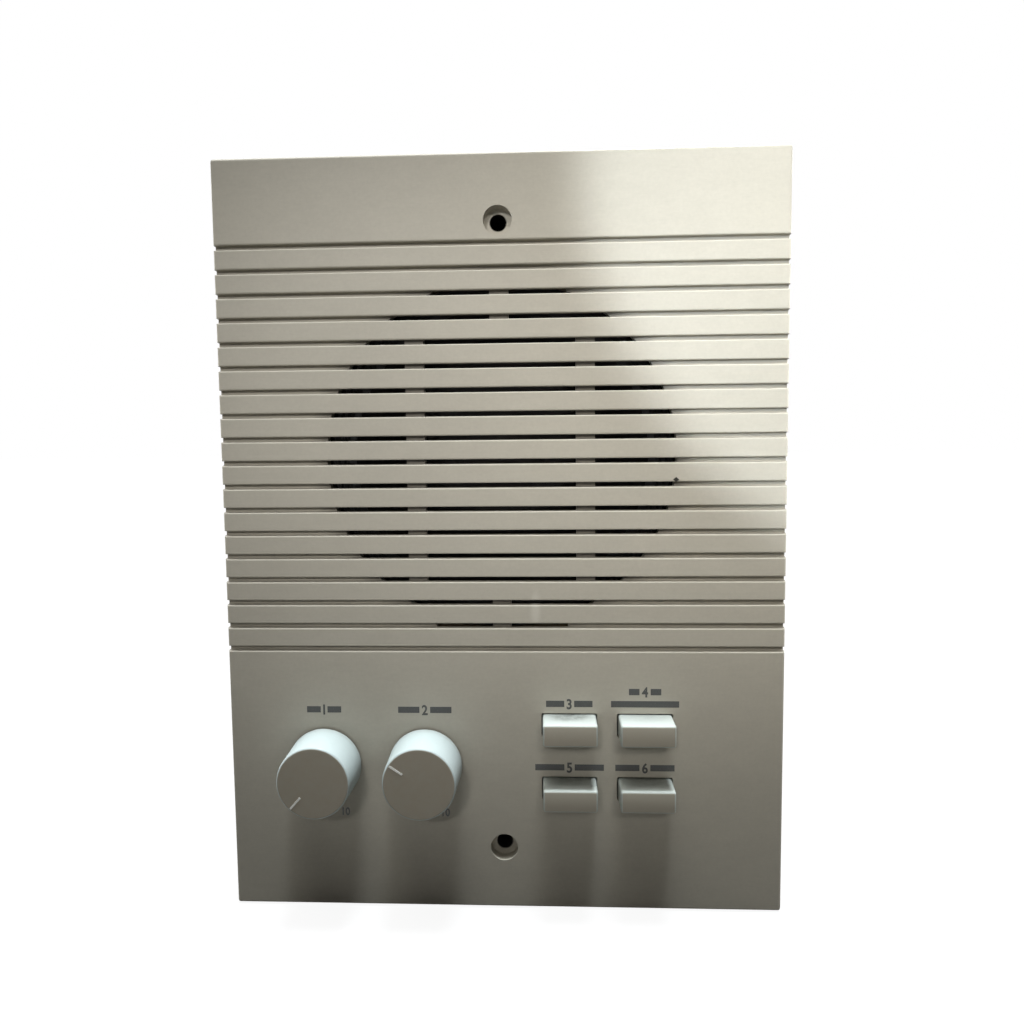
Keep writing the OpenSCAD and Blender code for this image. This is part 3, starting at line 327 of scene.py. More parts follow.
def knob_plastic(node):
    """Pale grey moulding with turning marks on its face; the face is painted darker and warmer as painted
    shade, and the skirt darker near the panel as painted shade with some soiling.
    """
    finish = Finish(node + "_plastic", (0.470, 0.535, 0.530), 0.36, fixed={"Specular IOR Level": 0.25})
    centre = middle(node)
    front_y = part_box(node)[0].y
    _, y, _ = finish.axes()
    radius = finish.distance(x=centre.x, z=centre.z)
    finish.vary(finish.noise(4 * MM, detail=3), 0.030)
    finish.vary(finish.noise(0.5 * MM, detail=2), 0.030)
    # The skirt is painted darker near the panel: painted shade where it meets the panel, with some
    # soiling
    skirt = y.rise(face_y - 4 * MM, face_y - 0.8 * MM)
    finish.paint(SHADE_AND_GRIME, skirt * (0.05 + 0.25 * finish.noise(3 * MM)))
    # The front face is painted darker and warmer than the sides: painted shade, as it faces away from the
    # light from above
    face = y.rise(front_y + 0.07 * MM, front_y + 0.02 * MM)
    finish.paint((0.345, 0.305, 0.238), face * (0.84 + 0.15 * finish.noise(2.5 * MM)))
    finish.emboss(finish.noise(0.4 * MM), 0.008 * MM)
    finish.emboss(radius.waves(0.25 * MM) * face, 0.0015 * MM)
    finish.roughness = 0.34 + 0.12 * finish.noise(1.5 * MM)
    return finish.done()


# How much soot lies on each button: the least on the one that is pressed most
BUTTON_SOOT = {"top_left": 0.62, "top_right": 0.15, "bottom_left": 0.32, "bottom_right": 0.26}


def button_plastic(corner):
    """Pale grey moulding, with soot at the back of the top where fingers don't rub it off, and the front
    face painted darker and warmer as painted shade.
    """
    node = corner + "_button"
    finish = Finish(node + "_plastic", (0.500, 0.540, 0.510), 0.38, fixed={"Specular IOR Level": 0.25})
    centre = middle(node)
    front_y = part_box(node)[0].y
    x, y, z = finish.axes()
    finish.vary(finish.noise(4 * MM, detail=3), 0.030)
    finish.vary(finish.noise(0.5 * MM, detail=2), 0.030)
    top = z.rise(centre.z + 3.2 * MM, centre.z + 3.5 * MM)
    along = abs(x - centre.x).rise(8.6 * MM, 2.0 * MM)
    behind = y.rise(front_y + 1.2 * MM, front_y + 7.0 * MM)
    # The front face is painted darker and warmer than the top: painted shade, as it faces away from the
    # light from above
    front = y.rise(front_y + 0.10 * MM, front_y + 0.03 * MM)
    finish.paint((0.40, 0.365, 0.295), front * (0.84 + 0.12 * finish.noise(1.6 * MM, detail=3)))
    cloud = finish.noise(2.2 * MM, detail=4, roughness=0.6).rise(0.30, 0.62)
    finish.paint(SOOT_AND_SHADE, top * along * behind * (0.35 + 0.65 * cloud) * BUTTON_SOOT[corner])
    finish.emboss(finish.noise(0.4 * MM), 0.010 * MM)
    finish.roughness = 0.36 + 0.12 * finish.noise(1.5 * MM)
    return finish.done()


def pointer_paint():
    finish = Finish("pointer_paint", (0.93, 0.93, 0.89), 0.32, fixed={"Coat Weight": 0.2})
    finish.vary(finish.noise(0.6 * MM), 0.05)
    finish.emboss(finish.noise(0.2 * MM), 0.004 * MM)
    return finish.done()


def print_ink():
    """Screen printed grey ink, thin at the edges of its pinholes."""
    finish = Finish("print_ink", (0.062, 0.064, 0.063), 0.55)
    pinholes = finish.noise(0.22 * MM, detail=2).rise(0.66, 0.72)
    finish.paint((0.25, 0.235, 0.20), pinholes * 0.5)
    finish.vary(finish.noise(0.8 * MM), 0.10)
    finish.emboss(finish.noise(0.3 * MM), 0.004 * MM)
    return finish.done()


# Finishes: the loudspeaker

def black_paper():
    """Pressed paper fibre with fine rings from its felting mould."""
    finish = Finish("black_paper", (0.022, 0.021, 0.020), 0.82)
    centre = middle("speaker_cone")
    radius = finish.distance(x=centre.x, z=centre.z)
    fibres = finish.noise(0.5 * MM, stretch=(3, 1, 1), detail=4, roughness=0.65)
    finish.paint((0.085, 0.078, 0.068), fibres.rise(0.58, 0.80) * 0.7)
    finish.paint((0.16, 0.145, 0.12), finish.noise(9 * MM, detail=4).rise(0.60, 0.80) * 0.15)
    finish.emboss(fibres, 0.05 * MM)
    finish.emboss(radius.waves(1.9 * MM), 0.06 * MM)
    return finish.done()


def dust_cap_felt():
    finish = Finish("dust_cap_felt", (0.028, 0.026, 0.024), 0.90, fixed={"Sheen Weight": 0.3})
    fluff = finish.noise(0.30 * MM, detail=4, roughness=0.7)
    finish.vary(fluff, 0.45)
    finish.emboss(fluff, 0.06 * MM)
    return finish.done()


def damper_cloth():
    """Amber cloth stiffened with resin, its two threads crossing."""
    finish = Finish("damper_cloth", (0.50, 0.32, 0.11), 0.62)
    x, _, z = finish.axes()
    thread_pitch = 0.55 * MM
    weave = x.waves(thread_pitch) * z.waves(thread_pitch) * 0.5 + 0.5
    finish.vary(weave, 0.22)
    finish.vary(finish.noise(7 * MM, detail=3), 0.16)
    finish.emboss(weave, 0.05 * MM)
    return finish.done()


def former_paper():
    finish = Finish("former_paper", (0.40, 0.26, 0.13), 0.70)
    finish.vary(finish.noise(0.6 * MM, stretch=(1, 5, 1), detail=3), 0.14)
    finish.emboss(finish.noise(0.25 * MM), 0.01 * MM)
    return finish.done()


def gasket_board():
    """Grey brown pressed board with its fibres showing and some dark flecks."""
    finish = Finish("gasket_board", (0.235, 0.190, 0.135), 0.86)
    fibres = finish.noise(0.8 * MM, stretch=(4, 1, 1), detail=5, roughness=0.7)
    finish.vary(fibres, 0.28)
    flecks = finish.noise(1.4 * MM, detail=3, shift=0.3).rise(0.62, 0.74)
    finish.paint((0.10, 0.085, 0.065), flecks * 0.6)
    finish.emboss(fibres, 0.05 * MM)
    return finish.done()


def black_edge_paper():
    """Doped paper of the pleated edge: black, with a slight tacky shine."""
    finish = Finish("black_edge_paper", (0.020, 0.019, 0.018), 0.58, fixed={"Coat Weight": 0.15})
    fibres = finish.noise(0.4 * MM, detail=4)
    finish.vary(fibres, 0.35)
    finish.emboss(fibres, 0.04 * MM)
    return finish.done()


# Finishes: metals

def sheet_metal(name, colour, roughness, tarnish, spangle):
    """Plated sheet: soft cloudy plating, fine drawing lines and a little white or brown bloom."""
    finish = Finish(name, colour, roughness, metallic=1.0)
    clouds = finish.noise(spangle, detail=4, roughness=0.6)
    lines = finish.noise(0.25 * MM, stretch=(1, 1, 16), detail=2)
    bloom = finish.noise(3.5 * MM, detail=5, roughness=0.7, shift=0.7).rise(0.56, 0.74)
    finish.vary(clouds, 0.16)
    finish.vary(lines, 0.06)
    finish.paint(tarnish, bloom * 0.55)
    finish.metallic = 1 - 0.6 * bloom
    finish.roughness = roughness - 0.08 + 0.16 * clouds + 0.25 * bloom
    finish.emboss(lines, 0.004 * MM)
    finish.emboss(clouds, 0.010 * MM)
    return finish


# Each metal's colour, roughness, colour of its bloom, and size of its clouds
SHEET_METALS = {
    "zinc_steel": ((0.29, 0.285, 0.265), 0.62, (0.18, 0.167, 0.14), 6 * MM),
    "screw_steel": ((0.62, 0.61, 0.57), 0.30, (0.30, 0.25, 0.18), 2 * MM),
    "spring_steel": ((0.55, 0.55, 0.55), 0.28, (0.28, 0.24, 0.19), 1.5 * MM),
    "plated_iron": ((0.36, 0.352, 0.33), 0.44, (0.17, 0.13, 0.09), 6 * MM),
    "tinned_brass": ((0.66, 0.62, 0.52), 0.34, (0.38, 0.28, 0.14), 2 * MM),
    "turned_brass": ((0.68, 0.49, 0.21), 0.30, (0.30, 0.19, 0.08), 3 * MM),
    "solder": ((0.62, 0.62, 0.61), 0.32, (0.34, 0.22, 0.08), 1.2 * MM),
}


def plated_iron():
    """Turned plates: rings from the lathe under the plating."""
    finish = sheet_metal("plated_iron", *SHEET_METALS["plated_iron"])
    centre = middle("back_plate")
    radius = finish.distance(x=centre.x, z=centre.z)
    finish.emboss(radius.waves(0.42 * MM) * 0.5 + 0.5, 0.004 * MM)
    return finish.done()


def ferrite():
    """Dull dark sintered ring with pale dust in its pores."""
    finish = Finish("ferrite", (0.036, 0.036, 0.039), 0.62)
    pores = finish.noise(0.5 * MM, detail=4, roughness=0.7)
    finish.vary(pores, 0.30)
    finish.vary(finish.noise(9 * MM, detail=2), 0.18)
    finish.paint((0.13, 0.125, 0.12), pores.rise(0.66, 0.78) * 0.5)
    finish.emboss(pores, 0.03 * MM)
    finish.roughness = 0.52 + 0.22 * finish.noise(3 * MM)
    return finish.done()


def coil_copper():
    """Enamelled wire laid turn beside turn."""
    finish = Finish("coil_copper", (0.62, 0.26, 0.10), 0.30, metallic=1.0)
    _, y, _ = finish.axes()
    wires = y.waves(0.2 * MM) * 0.5 + 0.5
    finish.vary(wires, 0.25)
    finish.emboss(wires, 0.03 * MM)
    return finish.done()


# Finishes: the circuit board and what it carries

# Copper tracks as low x, low z, high x and high z in mm
TRACKS = (
    (-70, -90.6, 70, -90.6), (-70, -90.6, -70, -66), (70, -90.6, 70, -62), (30, -43.6, 66, -43.6),
    (17.6, -65, 17.6, -57.5), (21.6, -65, 21.6, -57.5), (25.6, -65, 25.6, -57.5),
    (42.1, -65, 42.1, -57.5), (46.1, -65, 46.1, -54), (50.1, -65, 50.1, -57.5),
    (17.6, -83.8, 17.6, -76), (21.6, -83.8, 21.6, -76), (25.6, -90.6, 25.6, -76),
    (42.1, -83.8, 42.1, -76), (46.1, -83.8, 46.1, -76), (50.1, -90.6, 50.1, -76),
    (-64.1, -78.5, -64.1, -67), (-59.1, -90.6, -59.1, -78.5), (-54.1, -78.5, -54.1, -64),
    (-30.7, -78.5, -30.7, -62), (-25.7, -90.6, -25.7, -78.5), (-20.7, -78.5, -20.7, -60),
    (-54.1, -70.5, -30.7, -70.5), (-20.7, -66.5, -4, -66.5), (-4, -66.5, -4, -56), (1, -56, 25.6, -56),
    (56, -62, 70, -62), (3.1, -56, 3.1, -53.5), (13, -56, 13, -53.5), (23, -56, 23, -53.5),
    (30, -48, 30, -43.6), (24, -43.6, 30, -43.6),
)
TRACK_HALF_WIDTH = 0.55 * MM


def board_laminate():
    """Phenolic laminate: brown with paper fibres and stains of flux, and copper tracks on its back."""
    finish = Finish("board_laminate", (0.27, 0.155, 0.055), 0.42, fixed={"Coat Weight": 0.25})
    fibres = finish.noise(0.7 * MM, stretch=(5, 1, 1), detail=4, roughness=0.65)
    finish.vary(fibres, 0.14)
    finish.vary(finish.noise(16 * MM, detail=2), 0.12)
    finish.paint((0.12, 0.06, 0.02), finish.noise(5 * MM, detail=4, shift=0.4).rise(0.60, 0.78) * 0.35)
    x, y, z = finish.axes()
    tracks = 0.0
    for low_x, low_z, high_x, high_z in TRACKS:
        half_x = (high_x - low_x) / 2 * MM + TRACK_HALF_WIDTH
        half_z = (high_z - low_z) / 2 * MM + TRACK_HALF_WIDTH
        across = abs(x - (low_x + high_x) / 2 * MM).within(half_x, 0.06 * MM)
        along = abs(z - (low_z + high_z) / 2 * MM).within(half_z, 0.06 * MM)
        tracks = (across * along).higher(tracks)
    tracks = tracks * y.rise(board_back_y - 0.10 * MM, board_back_y - 0.03 * MM)
    cover = 0.75 + 0.25 * finish.noise(3 * MM, detail=3, shift=0.2)
    finish.paint((0.40, 0.215, 0.085), tracks * cover)
    finish.metallic = tracks * 0.7
    finish.emboss(fibres, 0.010 * MM)
    finish.emboss(tracks, 0.05 * MM)
    finish.roughness = 0.34 + 0.20 * finish.noise(4 * MM)
    return finish.done()


def fibre_strip():
    finish = Finish("fibre_strip", (0.17, 0.075, 0.03), 0.55)
    layers = finish.noise(0.3 * MM, stretch=(8, 1, 8), detail=3)
    finish.vary(layers, 0.22)
    finish.emboss(layers, 0.010 * MM)
    return finish.done()


def shaft_nylon():
    finish = Finish("shaft_nylon", (0.62, 0.60, 0.53), 0.42)
    finish.vary(finish.noise(1.5 * MM, stretch=(1, 4, 1), detail=3), 0.06)
    finish.emboss(finish.noise(0.4 * MM), 0.006 * MM)
    return finish.done()


def dark_moulding(name, colour, roughness):
    """Black or brown moulding with a fine mould texture, pale dust and an uneven gloss."""
    finish = Finish(name, colour, roughness)
    dust = finish.noise(2.4 * MM, detail=5, roughness=0.7, shift=0.5).rise(0.52, 0.80)
    finish.vary(finish.noise(1.2 * MM, detail=3), 0.20)
    finish.paint((0.22, 0.20, 0.17), dust * 0.16)
    finish.emboss(finish.noise(0.35 * MM, detail=2), 0.012 * MM)
    finish.roughness = roughness - 0.06 + 0.18 * finish.noise(2 * MM)
    return finish


def switch_black():
    """Black switch body with tinned pins where it passes the board."""
    finish = dark_moulding("switch_black", (0.020, 0.020, 0.021), 0.42)
    _, y, _ = finish.axes()
    pins = y.rise(board_low.y - 0.05 * MM, board_low.y + 0.05 * MM)
    finish.plate((0.66, 0.63, 0.56), pins)
    return finish.done()


def block_black():
    return dark_moulding("block_black", (0.026, 0.022, 0.019), 0.36).done()


def core_iron():
    """Stack of varnished laminations: thin dark lines along the depth, rust along some edges."""
    finish = Finish("core_iron", (0.115, 0.110, 0.108), 0.44, metallic=0.7)
    _, y, _ = finish.axes()
    gaps = y.waves(0.5 * MM).rise(0.35, 0.95)
    rust = finish.noise(2.6 * MM, stretch=(3, 1, 3), detail=5, roughness=0.7).rise(0.56, 0.76)
    finish.vary(finish.noise(2.0 * MM, stretch=(6, 0.4, 6), detail=3), 0.30)
    finish.paint((0.012, 0.011, 0.010), gaps * 0.75)
    finish.paint((0.23, 0.085, 0.030), rust * 0.5)
    finish.metallic = 0.7 - 0.5 * rust
    finish.emboss(1 - gaps, 0.05 * MM)
    return finish.done()


def bobbin_tape():
    """Amber tape in overlapping wraps over the winding, glossy and a little wrinkled."""
    finish = Finish("bobbin_tape", (0.46, 0.29, 0.055), 0.24, fixed={"Coat Weight": 0.5})
    _, y, _ = finish.axes()
    wraps = y.math("FRACT", y * (1 / (3.4 * MM)))
    edge = wraps.rise(0.10, 0.0)
    finish.paint((0.27, 0.15, 0.03), edge * 0.7)
    finish.vary(finish.noise(4 * MM, stretch=(3, 1, 1), detail=3), 0.15)
    finish.emboss(wraps, 0.06 * MM)
    finish.emboss(finish.noise(1.8 * MM, detail=3), 0.03 * MM)
    return finish.done()


# The capacitors' x, z, radius and height in mm
CANS = ((-29, -55.49, 5.0, 14), (-17, -54.49, 4.0, 11), (-8, -55.49, 3.2, 9))


def capacitor_sleeve():
    """Shrunk sleeves: glossy dark blue with a pale stripe, and a bare vented lid on each can."""
    finish = Finish("capacitor_sleeve", (0.012, 0.026, 0.085), 0.26, fixed={"Coat Weight": 0.3})
    finish.vary(finish.noise(2 * MM, detail=3), 0.18)
    x, y, z = finish.axes()
    lids = 0.0
    for can_x, can_z, can_r, can_h in CANS:
        radius = finish.distance(x=can_x * MM, z=can_z * MM)
        near = radius.rise((can_r + 0.4) * MM, (can_r + 0.3) * MM)
        stripe = near * (x - can_x * MM).rise(0.70 * can_r * MM, 0.74 * can_r * MM)
        finish.paint((0.42, 0.46, 0.50), stripe * 0.9)
        top_y = board_back_y + can_h * MM
        lid = radius.within((can_r - 1.25) * MM, 0.05 * MM) * y.rise(top_y - 0.6 * MM, top_y - 0.5 * MM)
        cross = abs(x - can_x * MM).lower(abs(z - can_z * MM))
        vents = cross.within(0.17 * MM, 0.05 * MM)
        finish.emboss(1 - vents * lid, 0.12 * MM)
        lids = lid.higher(lids)
    finish.plate((0.50, 0.50, 0.49), lids)
    finish.emboss(finish.noise(1.4 * MM, stretch=(1, 5, 1), detail=3), 0.02 * MM)
    finish.roughness = 0.22 + 0.12 * finish.noise(3 * MM) + 0.12 * lids
    return finish.done()


def film_resin():
    finish = Finish("film_resin", (0.26, 0.030, 0.014), 0.22, fixed={"Coat Weight": 0.5})
    finish.vary(finish.noise(1.6 * MM, detail=3), 0.16)
    finish.emboss(finish.noise(1.3 * MM, detail=3), 0.05 * MM)
    return finish.done()


RESISTOR_PITCH = 5 * MM
# Each band's height above the resistors' middle in mm, and the number that its colours are picked by
BANDS = ((2.35, 1.0), (1.10, 3.0), (0.05, 7.0), (-1.90, 11.0))
BAND_COLOURS = ((0.0, (0.012, 0.011, 0.010)), (0.25, (0.10, 0.030, 0.010)), (0.45, (0.42, 0.020, 0.012)),
                (0.65, (0.50, 0.12, 0.01)), (0.80, (0.60, 0.30, 0.02)))


def resistor_lacquer():
    """Tan lacquer with four colour bands, and tinned leads."""
    finish = Finish("resistor_lacquer", (0.47, 0.34, 0.18), 0.34, fixed={"Coat Weight": 0.4})
    low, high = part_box("resistors")
    x, _, z = finish.axes()
    along = z - (low.z + high.z) / 2
    column = (x - low.x) * (1 / RESISTOR_PITCH)
    which = column.math("FLOOR", column)
    for at, seed in BANDS:
        one_axis = {"noise_dimensions": "1D"}
        pick = finish.node("ShaderNodeTexWhiteNoise", one_axis, {"W": which + seed}, "Value")
        colour = finish.node("ShaderNodeValToRGB", {"stops": BAND_COLOURS}, {"Fac": pick}, "Color")
        finish.paint(colour, abs(along - at * MM).within(0.39 * MM, 0.03 * MM))
    leads = abs(along).rise(3.15 * MM, 3.22 * MM)
    finish.plate((0.68, 0.66, 0.60), leads)
    finish.emboss(finish.noise(0.7 * MM), 0.02 * MM)
    return finish.done()


def chip_resin():
    """Black moulded chip with tinned legs down both long sides."""
    finish = dark_moulding("chip_resin", (0.017, 0.017, 0.018), 0.48)
    low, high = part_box("amplifier_chip")
    _, _, z = finish.axes()
    legs = abs(z - (low.z + high.z) / 2).rise(3.20 * MM, 3.26 * MM)
    finish.plate((0.66, 0.64, 0.58), legs)
    return finish.done()


def wear(node, material):
    """Gives a node one finish all over."""
    slots = nodes[node].material_slots
    for slot in slots:
        slot.material = material
    if not slots:
        nodes[node].data.materials.append(material)


finishes = {name: sheet_metal(name, *look).done()
            for name, look in SHEET_METALS.items() if name != "plated_iron"}
for make in (
        panel_plastic, pointer_paint, print_ink, black_paper, dust_cap_felt, damper_cloth, former_paper,
        gasket_board, plated_iron, ferrite, coil_copper, fibre_strip, board_laminate, shaft_nylon,
        switch_black, block_black, core_iron, bobbin_tape, capacitor_sleeve, film_resin,
        resistor_lacquer, chip_resin):
    finishes[make.__name__] = make()
for part in frame["record"]["subparts"]:
    if part["material_slot"] in finishes:
        wear(part["node"], finishes[part["material_slot"]])
for side in SIDES:
    wear(side + "_knob", knob_plastic(side + "_knob"))
wear("cone_surround", black_edge_paper())


# Pieces

def new_piece(name, bm, material, body, smooth=True):
    """Turns a bmesh, already in its place, into a piece that rides on a body."""
    bmesh.ops.recalc_face_normals(bm, faces=bm.faces)
    for face in bm.faces:
        face.smooth = smooth
    mesh = bpy.data.meshes.new(name)
    bm.to_mesh(mesh)
    bm.free()
    mesh.materials.append(material)
    piece = bpy.data.objects.new(name, mesh)
    bpy.context.scene.collection.objects.link(piece)
    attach(piece, body)
    return piece


SPRING_WIRE_R = 0.225 * MM
SPRING_STEPS = 36
SPRING_TURNS = 4


def return_spring(corner):
    """Compression spring with a closed turn at each end, from the button's cap to the switch."""
    low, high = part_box(corner + "_spring")
    centre = middle(corner + "_spring")
    coil_r = (high.x - low.x) / 2 - SPRING_WIRE_R
    closed_rise = 2.1 * SPRING_WIRE_R
    active_rise = (high.y - low.y - 2 * SPRING_WIRE_R - 2 * closed_rise) / SPRING_TURNS
    bm = bmesh.new()
    ring = bmesh.ops.create_circle(bm, cap_ends=False, segments=12, radius=SPRING_WIRE_R)
    start = (centre.x + coil_r, low.y + SPRING_WIRE_R, centre.z)
    bmesh.ops.translate(bm, verts=ring["verts"], vec=start)
    section = list(bm.edges)
    bmesh.ops.contextual_create(bm, geom=section)
    for turns, rise in ((1, closed_rise), (SPRING_TURNS, active_rise), (1, closed_rise)):
        swept = bmesh.ops.spin(
            bm, geom=section, cent=centre, axis=(0, 1, 0), dvec=(0, rise / SPRING_STEPS, 0),
            angle=-turns * 2 * math.pi, steps=turns * SPRING_STEPS, use_duplicate=False)
        section = [e for e in swept["geom_last"] if isinstance(e, bmesh.types.BMEdge)]
    bmesh.ops.contextual_create(bm, geom=section)
    piece = new_piece(corner + "_return_spring", bm, finishes["spring_steel"], "station")
    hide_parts(corner + "_spring")
    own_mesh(piece)


def lettering(text, bold):
    """A mesh of digits in the XY plane, standing on the X axis and centred on the Y axis."""
    curve = bpy.data.curves.new("digits", "FONT")
    curve.body = text
    curve.align_x = "CENTER"
    curve.size = 1.0
    curve.offset = bold
    curve.resolution_u = 6
    writer = bpy.data.objects.new("digits", curve)
    bpy.context.scene.collection.objects.link(writer)
    mesh = bpy.data.meshes.new_from_object(writer)
    bpy.data.objects.remove(writer)
    return mesh


INK_PROUD = 0.03 * MM
BAR_T = 2.1 * MM
BAR_GAP = 0.8 * MM
DIGIT_SQUEEZE = 0.86
DIGIT_BOLD = 0.030


def upright(bm, verts):
    """Stands what was made in the XY plane up, facing the viewer."""
    bmesh.ops.rotate(bm, verts=verts, cent=(0, 0, 0), matrix=Matrix.Rotation(math.pi / 2, 3, "X"))


def printed_mark(name, text, x, z, width, cap_height=3.3 * MM):
    """A printed number, with a level bar on each side where the mark is wider than the number."""
    bm = bmesh.new()
    half_text = 0.0
    if text:
        mesh = lettering(text, DIGIT_BOLD)
        bm.from_mesh(mesh)
        bpy.data.meshes.remove(mesh)
        scale = cap_height / max(v.co.y for v in bm.verts)
        bmesh.ops.scale(bm, vec=(scale * DIGIT_SQUEEZE, scale, 1), verts=bm.verts)
        half_text = max(v.co.x for v in bm.verts) + BAR_GAP
    bar_l = width / 2 - half_text
    if bar_l > 0:
        for side in (-1, 1):
            bar = bmesh.ops.create_grid(bm, x_segments=1, y_segments=1, size=0.5)["verts"]
            bmesh.ops.scale(bm, vec=(bar_l, BAR_T, 1), verts=bar)
            bar_x = side * (half_text + bar_l / 2)
            bmesh.ops.translate(bm, verts=bar, vec=(bar_x, cap_height / 2, 0))
    bmesh.ops.remove_doubles(bm, verts=bm.verts, dist=0.001 * MM)
    bmesh.ops.recalc_face_normals(bm, faces=bm.faces)
    bmesh.ops.solidify(bm, geom=list(bm.faces), thickness=INK_PROUD)
    lowest = min(v.co.z for v in bm.verts)
    bmesh.ops.translate(bm, verts=bm.verts, vec=(0, 0, -lowest - 0.2 * INK_PROUD))
    upright(bm, bm.verts)
    bmesh.ops.translate(bm, verts=bm.verts, vec=(x, face_y, z))
    new_piece(name, bm, finishes["print_ink"], "station", smooth=False)


BUTTON_EDGE_R = 0.8 * MM
FLANGE_T = 1.5 * MM
FLANGE_LAP = 1.5 * MM
FLANGE_EDGE_R = 0.2 * MM


def box_between(bm, low, high):
    """A closed box from corner to corner."""
    verts = bmesh.ops.create_cube(bm, size=1)["verts"]
    bmesh.ops.scale(bm, vec=high - low, verts=verts)
    bmesh.ops.translate(bm, vec=(low + high) / 2, verts=verts)
    return verts


def rounded(bm, edges, radius, segments):
    bmesh.ops.bevel(bm, geom=edges, offset=radius, offset_type="OFFSET", segments=segments, profile=0.5,
                    affect="EDGES", clamp_overlap=True, material=-1)


def button_cap(corner):
    """Push button with its front edges rounded over, and the flange that holds it in the panel."""
    node = corner + "_button"
    low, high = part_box(node)
    lap = Vector((FLANGE_LAP, 0, FLANGE_LAP))
    bm = bmesh.new()
    cap = box_between(bm, low + lap, high - lap - Vector((0, FLANGE_T / 2, 0)))
    rear = max(v.co.y for v in cap)
    rounded(bm, [e for e in bm.edges if any(v.co.y < rear - 0.1 * MM for v in e.verts)], BUTTON_EDGE_R, 5)
    flange = box_between(bm, Vector((low.x, high.y - FLANGE_T, low.z)), high)
    rounded(bm, [e for e in bm.edges if all(v in flange for v in e.verts)], FLANGE_EDGE_R, 2)
    body = corner + "_push_button"
    piece = new_piece(corner + "_button_cap", bm, button_plastic(corner), body)
    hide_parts(node)


# A solder joint's outline: how far out from its pin and how far up from the board, in mm
JOINT_OUTLINE = ((1.15, 0.00), (1.10, 0.10), (0.78, 0.22), (0.56, 0.48), (0.47, 0.82), (0.30, 1.04),
                 (0.0, 1.10))
SWITCH_PINS = [(x * MM, z * MM) for x in (-4, 0, 4) for z in (-2.5, 2.5)]
POT_PINS = [(x * MM, -5 * MM) for x in (-5, 0, 5)]


def pin_joint(bm, x, z):
    """Solder that wets up a pin from its land on the back of the board."""
    points = [bm.verts.new((x + out * MM, board_back_y + up * MM, z)) for out, up in JOINT_OUTLINE]
    line = [bm.edges.new(pair) for pair in zip(points, points[1:])]
    bmesh.ops.spin(bm, geom=points + line, cent=(x, board_back_y, z), axis=(0, 1, 0), angle=2 * math.pi,
                   steps=16, use_merge=True, use_duplicate=False)


def board_joints():
    """The solder joints of the switches and the potentiometers."""
    bm = bmesh.new()
    rows = [(middle(corner + "_button"), SWITCH_PINS) for corner in CORNERS]
    rows += [(middle(side + "_knob"), POT_PINS) for side in SIDES]
    for centre, pins in rows:
        for across, up in pins:
            pin_joint(bm, centre.x + across, centre.z + up)
    bmesh.ops.remove_doubles(bm, verts=bm.verts, dist=0.01 * MM)
    rims = [e for e in bm.edges if e.is_boundary]
    bmesh.ops.holes_fill(bm, edges=rims, sides=0)
    new_piece("board_joints", bm, finishes["solder"], "station")


for corner in CORNERS:
    return_spring(corner)
    button_cap(corner)
board_joints()

KNOB_MARK_Z = -56.8 * MM
KNOB_END_X = 6.2 * MM
KNOB_END_DROP = 17.6 * MM
END_HEIGHT = 2.6 * MM
for side, number, width in (("left", "1", 11.4), ("right", "2", 17.6)):
    knob = middle(side + "_knob")
    end_z = knob.z - KNOB_END_DROP
    printed_mark(side + "_knob_number", number, knob.x, KNOB_MARK_Z, width * MM)
    printed_mark(side + "_knob_low_end", "0", knob.x - KNOB_END_X, end_z, 0, END_HEIGHT)
    printed_mark(side + "_knob_high_end", "10", knob.x + KNOB_END_X, end_z, 0, END_HEIGHT)

# Each button's number, the width of its mark in mm, and the height above the cap's middle
MARK_RISE = 5.5 * MM
MARK_LINE = 4.05 * MM
button_marks = {
    "top_left": ("3", 15.1, MARK_RISE), "bottom_left": ("5", 22.4, MARK_RISE),
    "bottom_right": ("6", 19.2, MARK_RISE), "top_right": ("4", 10.4, MARK_RISE + MARK_LINE),
}
for corner, (number, width, rise) in button_marks.items():
    button = middle(corner + "_button")
    printed_mark(corner + "_button_number", number, button.x, button.z + rise, width * MM)
button = middle("top_right_button")
printed_mark("top_right_button_bar", "", button.x, button.z + MARK_RISE, 21.9 * MM)


# Floor, light and camera

FLOOR_GLOW = 0.93


def empty_wiring(holder):
    """The node tree of a material or a world that is built without the usual shader."""
    holder.use_nodes = True
    holder.node_tree.nodes.clear()
    return Wiring(holder.node_tree)


def seen(wiring, *rays):
    """1 for the kinds of ray that show the background, and 0 for those that light the part."""
    kinds = [wiring.node("ShaderNodeLightPath", {}, {}, kind) for kind in rays]
    total = kinds[0]
    for kind in kinds[1:]:
        total = total.higher(kind)
    return total


def mixed_shaders(wiring, one, other, share):
    return wiring.node("ShaderNodeMixShader", {}, {0: share, 1: one, 2: other})


def pale_floor():
    """White, with the part's soft shadow on it, and dark to the part, so it throws no light back."""
    material = bpy.data.materials.new("floor")
    wiring = empty_wiring(material)
    shown = seen(wiring, "Is Camera Ray", "Is Glossy Ray")
    tint = wiring.mixed((0.08, 0.076, 0.070), (0.86, 0.86, 0.86), shown)
    pale = wiring.node("ShaderNodeBsdfDiffuse", {}, {"Color": tint})
    white = wiring.node("ShaderNodeEmission", {}, {})
    surface = mixed_shaders(wiring, pale, white, shown * FLOOR_GLOW)
    wiring.node("ShaderNodeOutputMaterial", {}, {"Surface": surface})
    return material


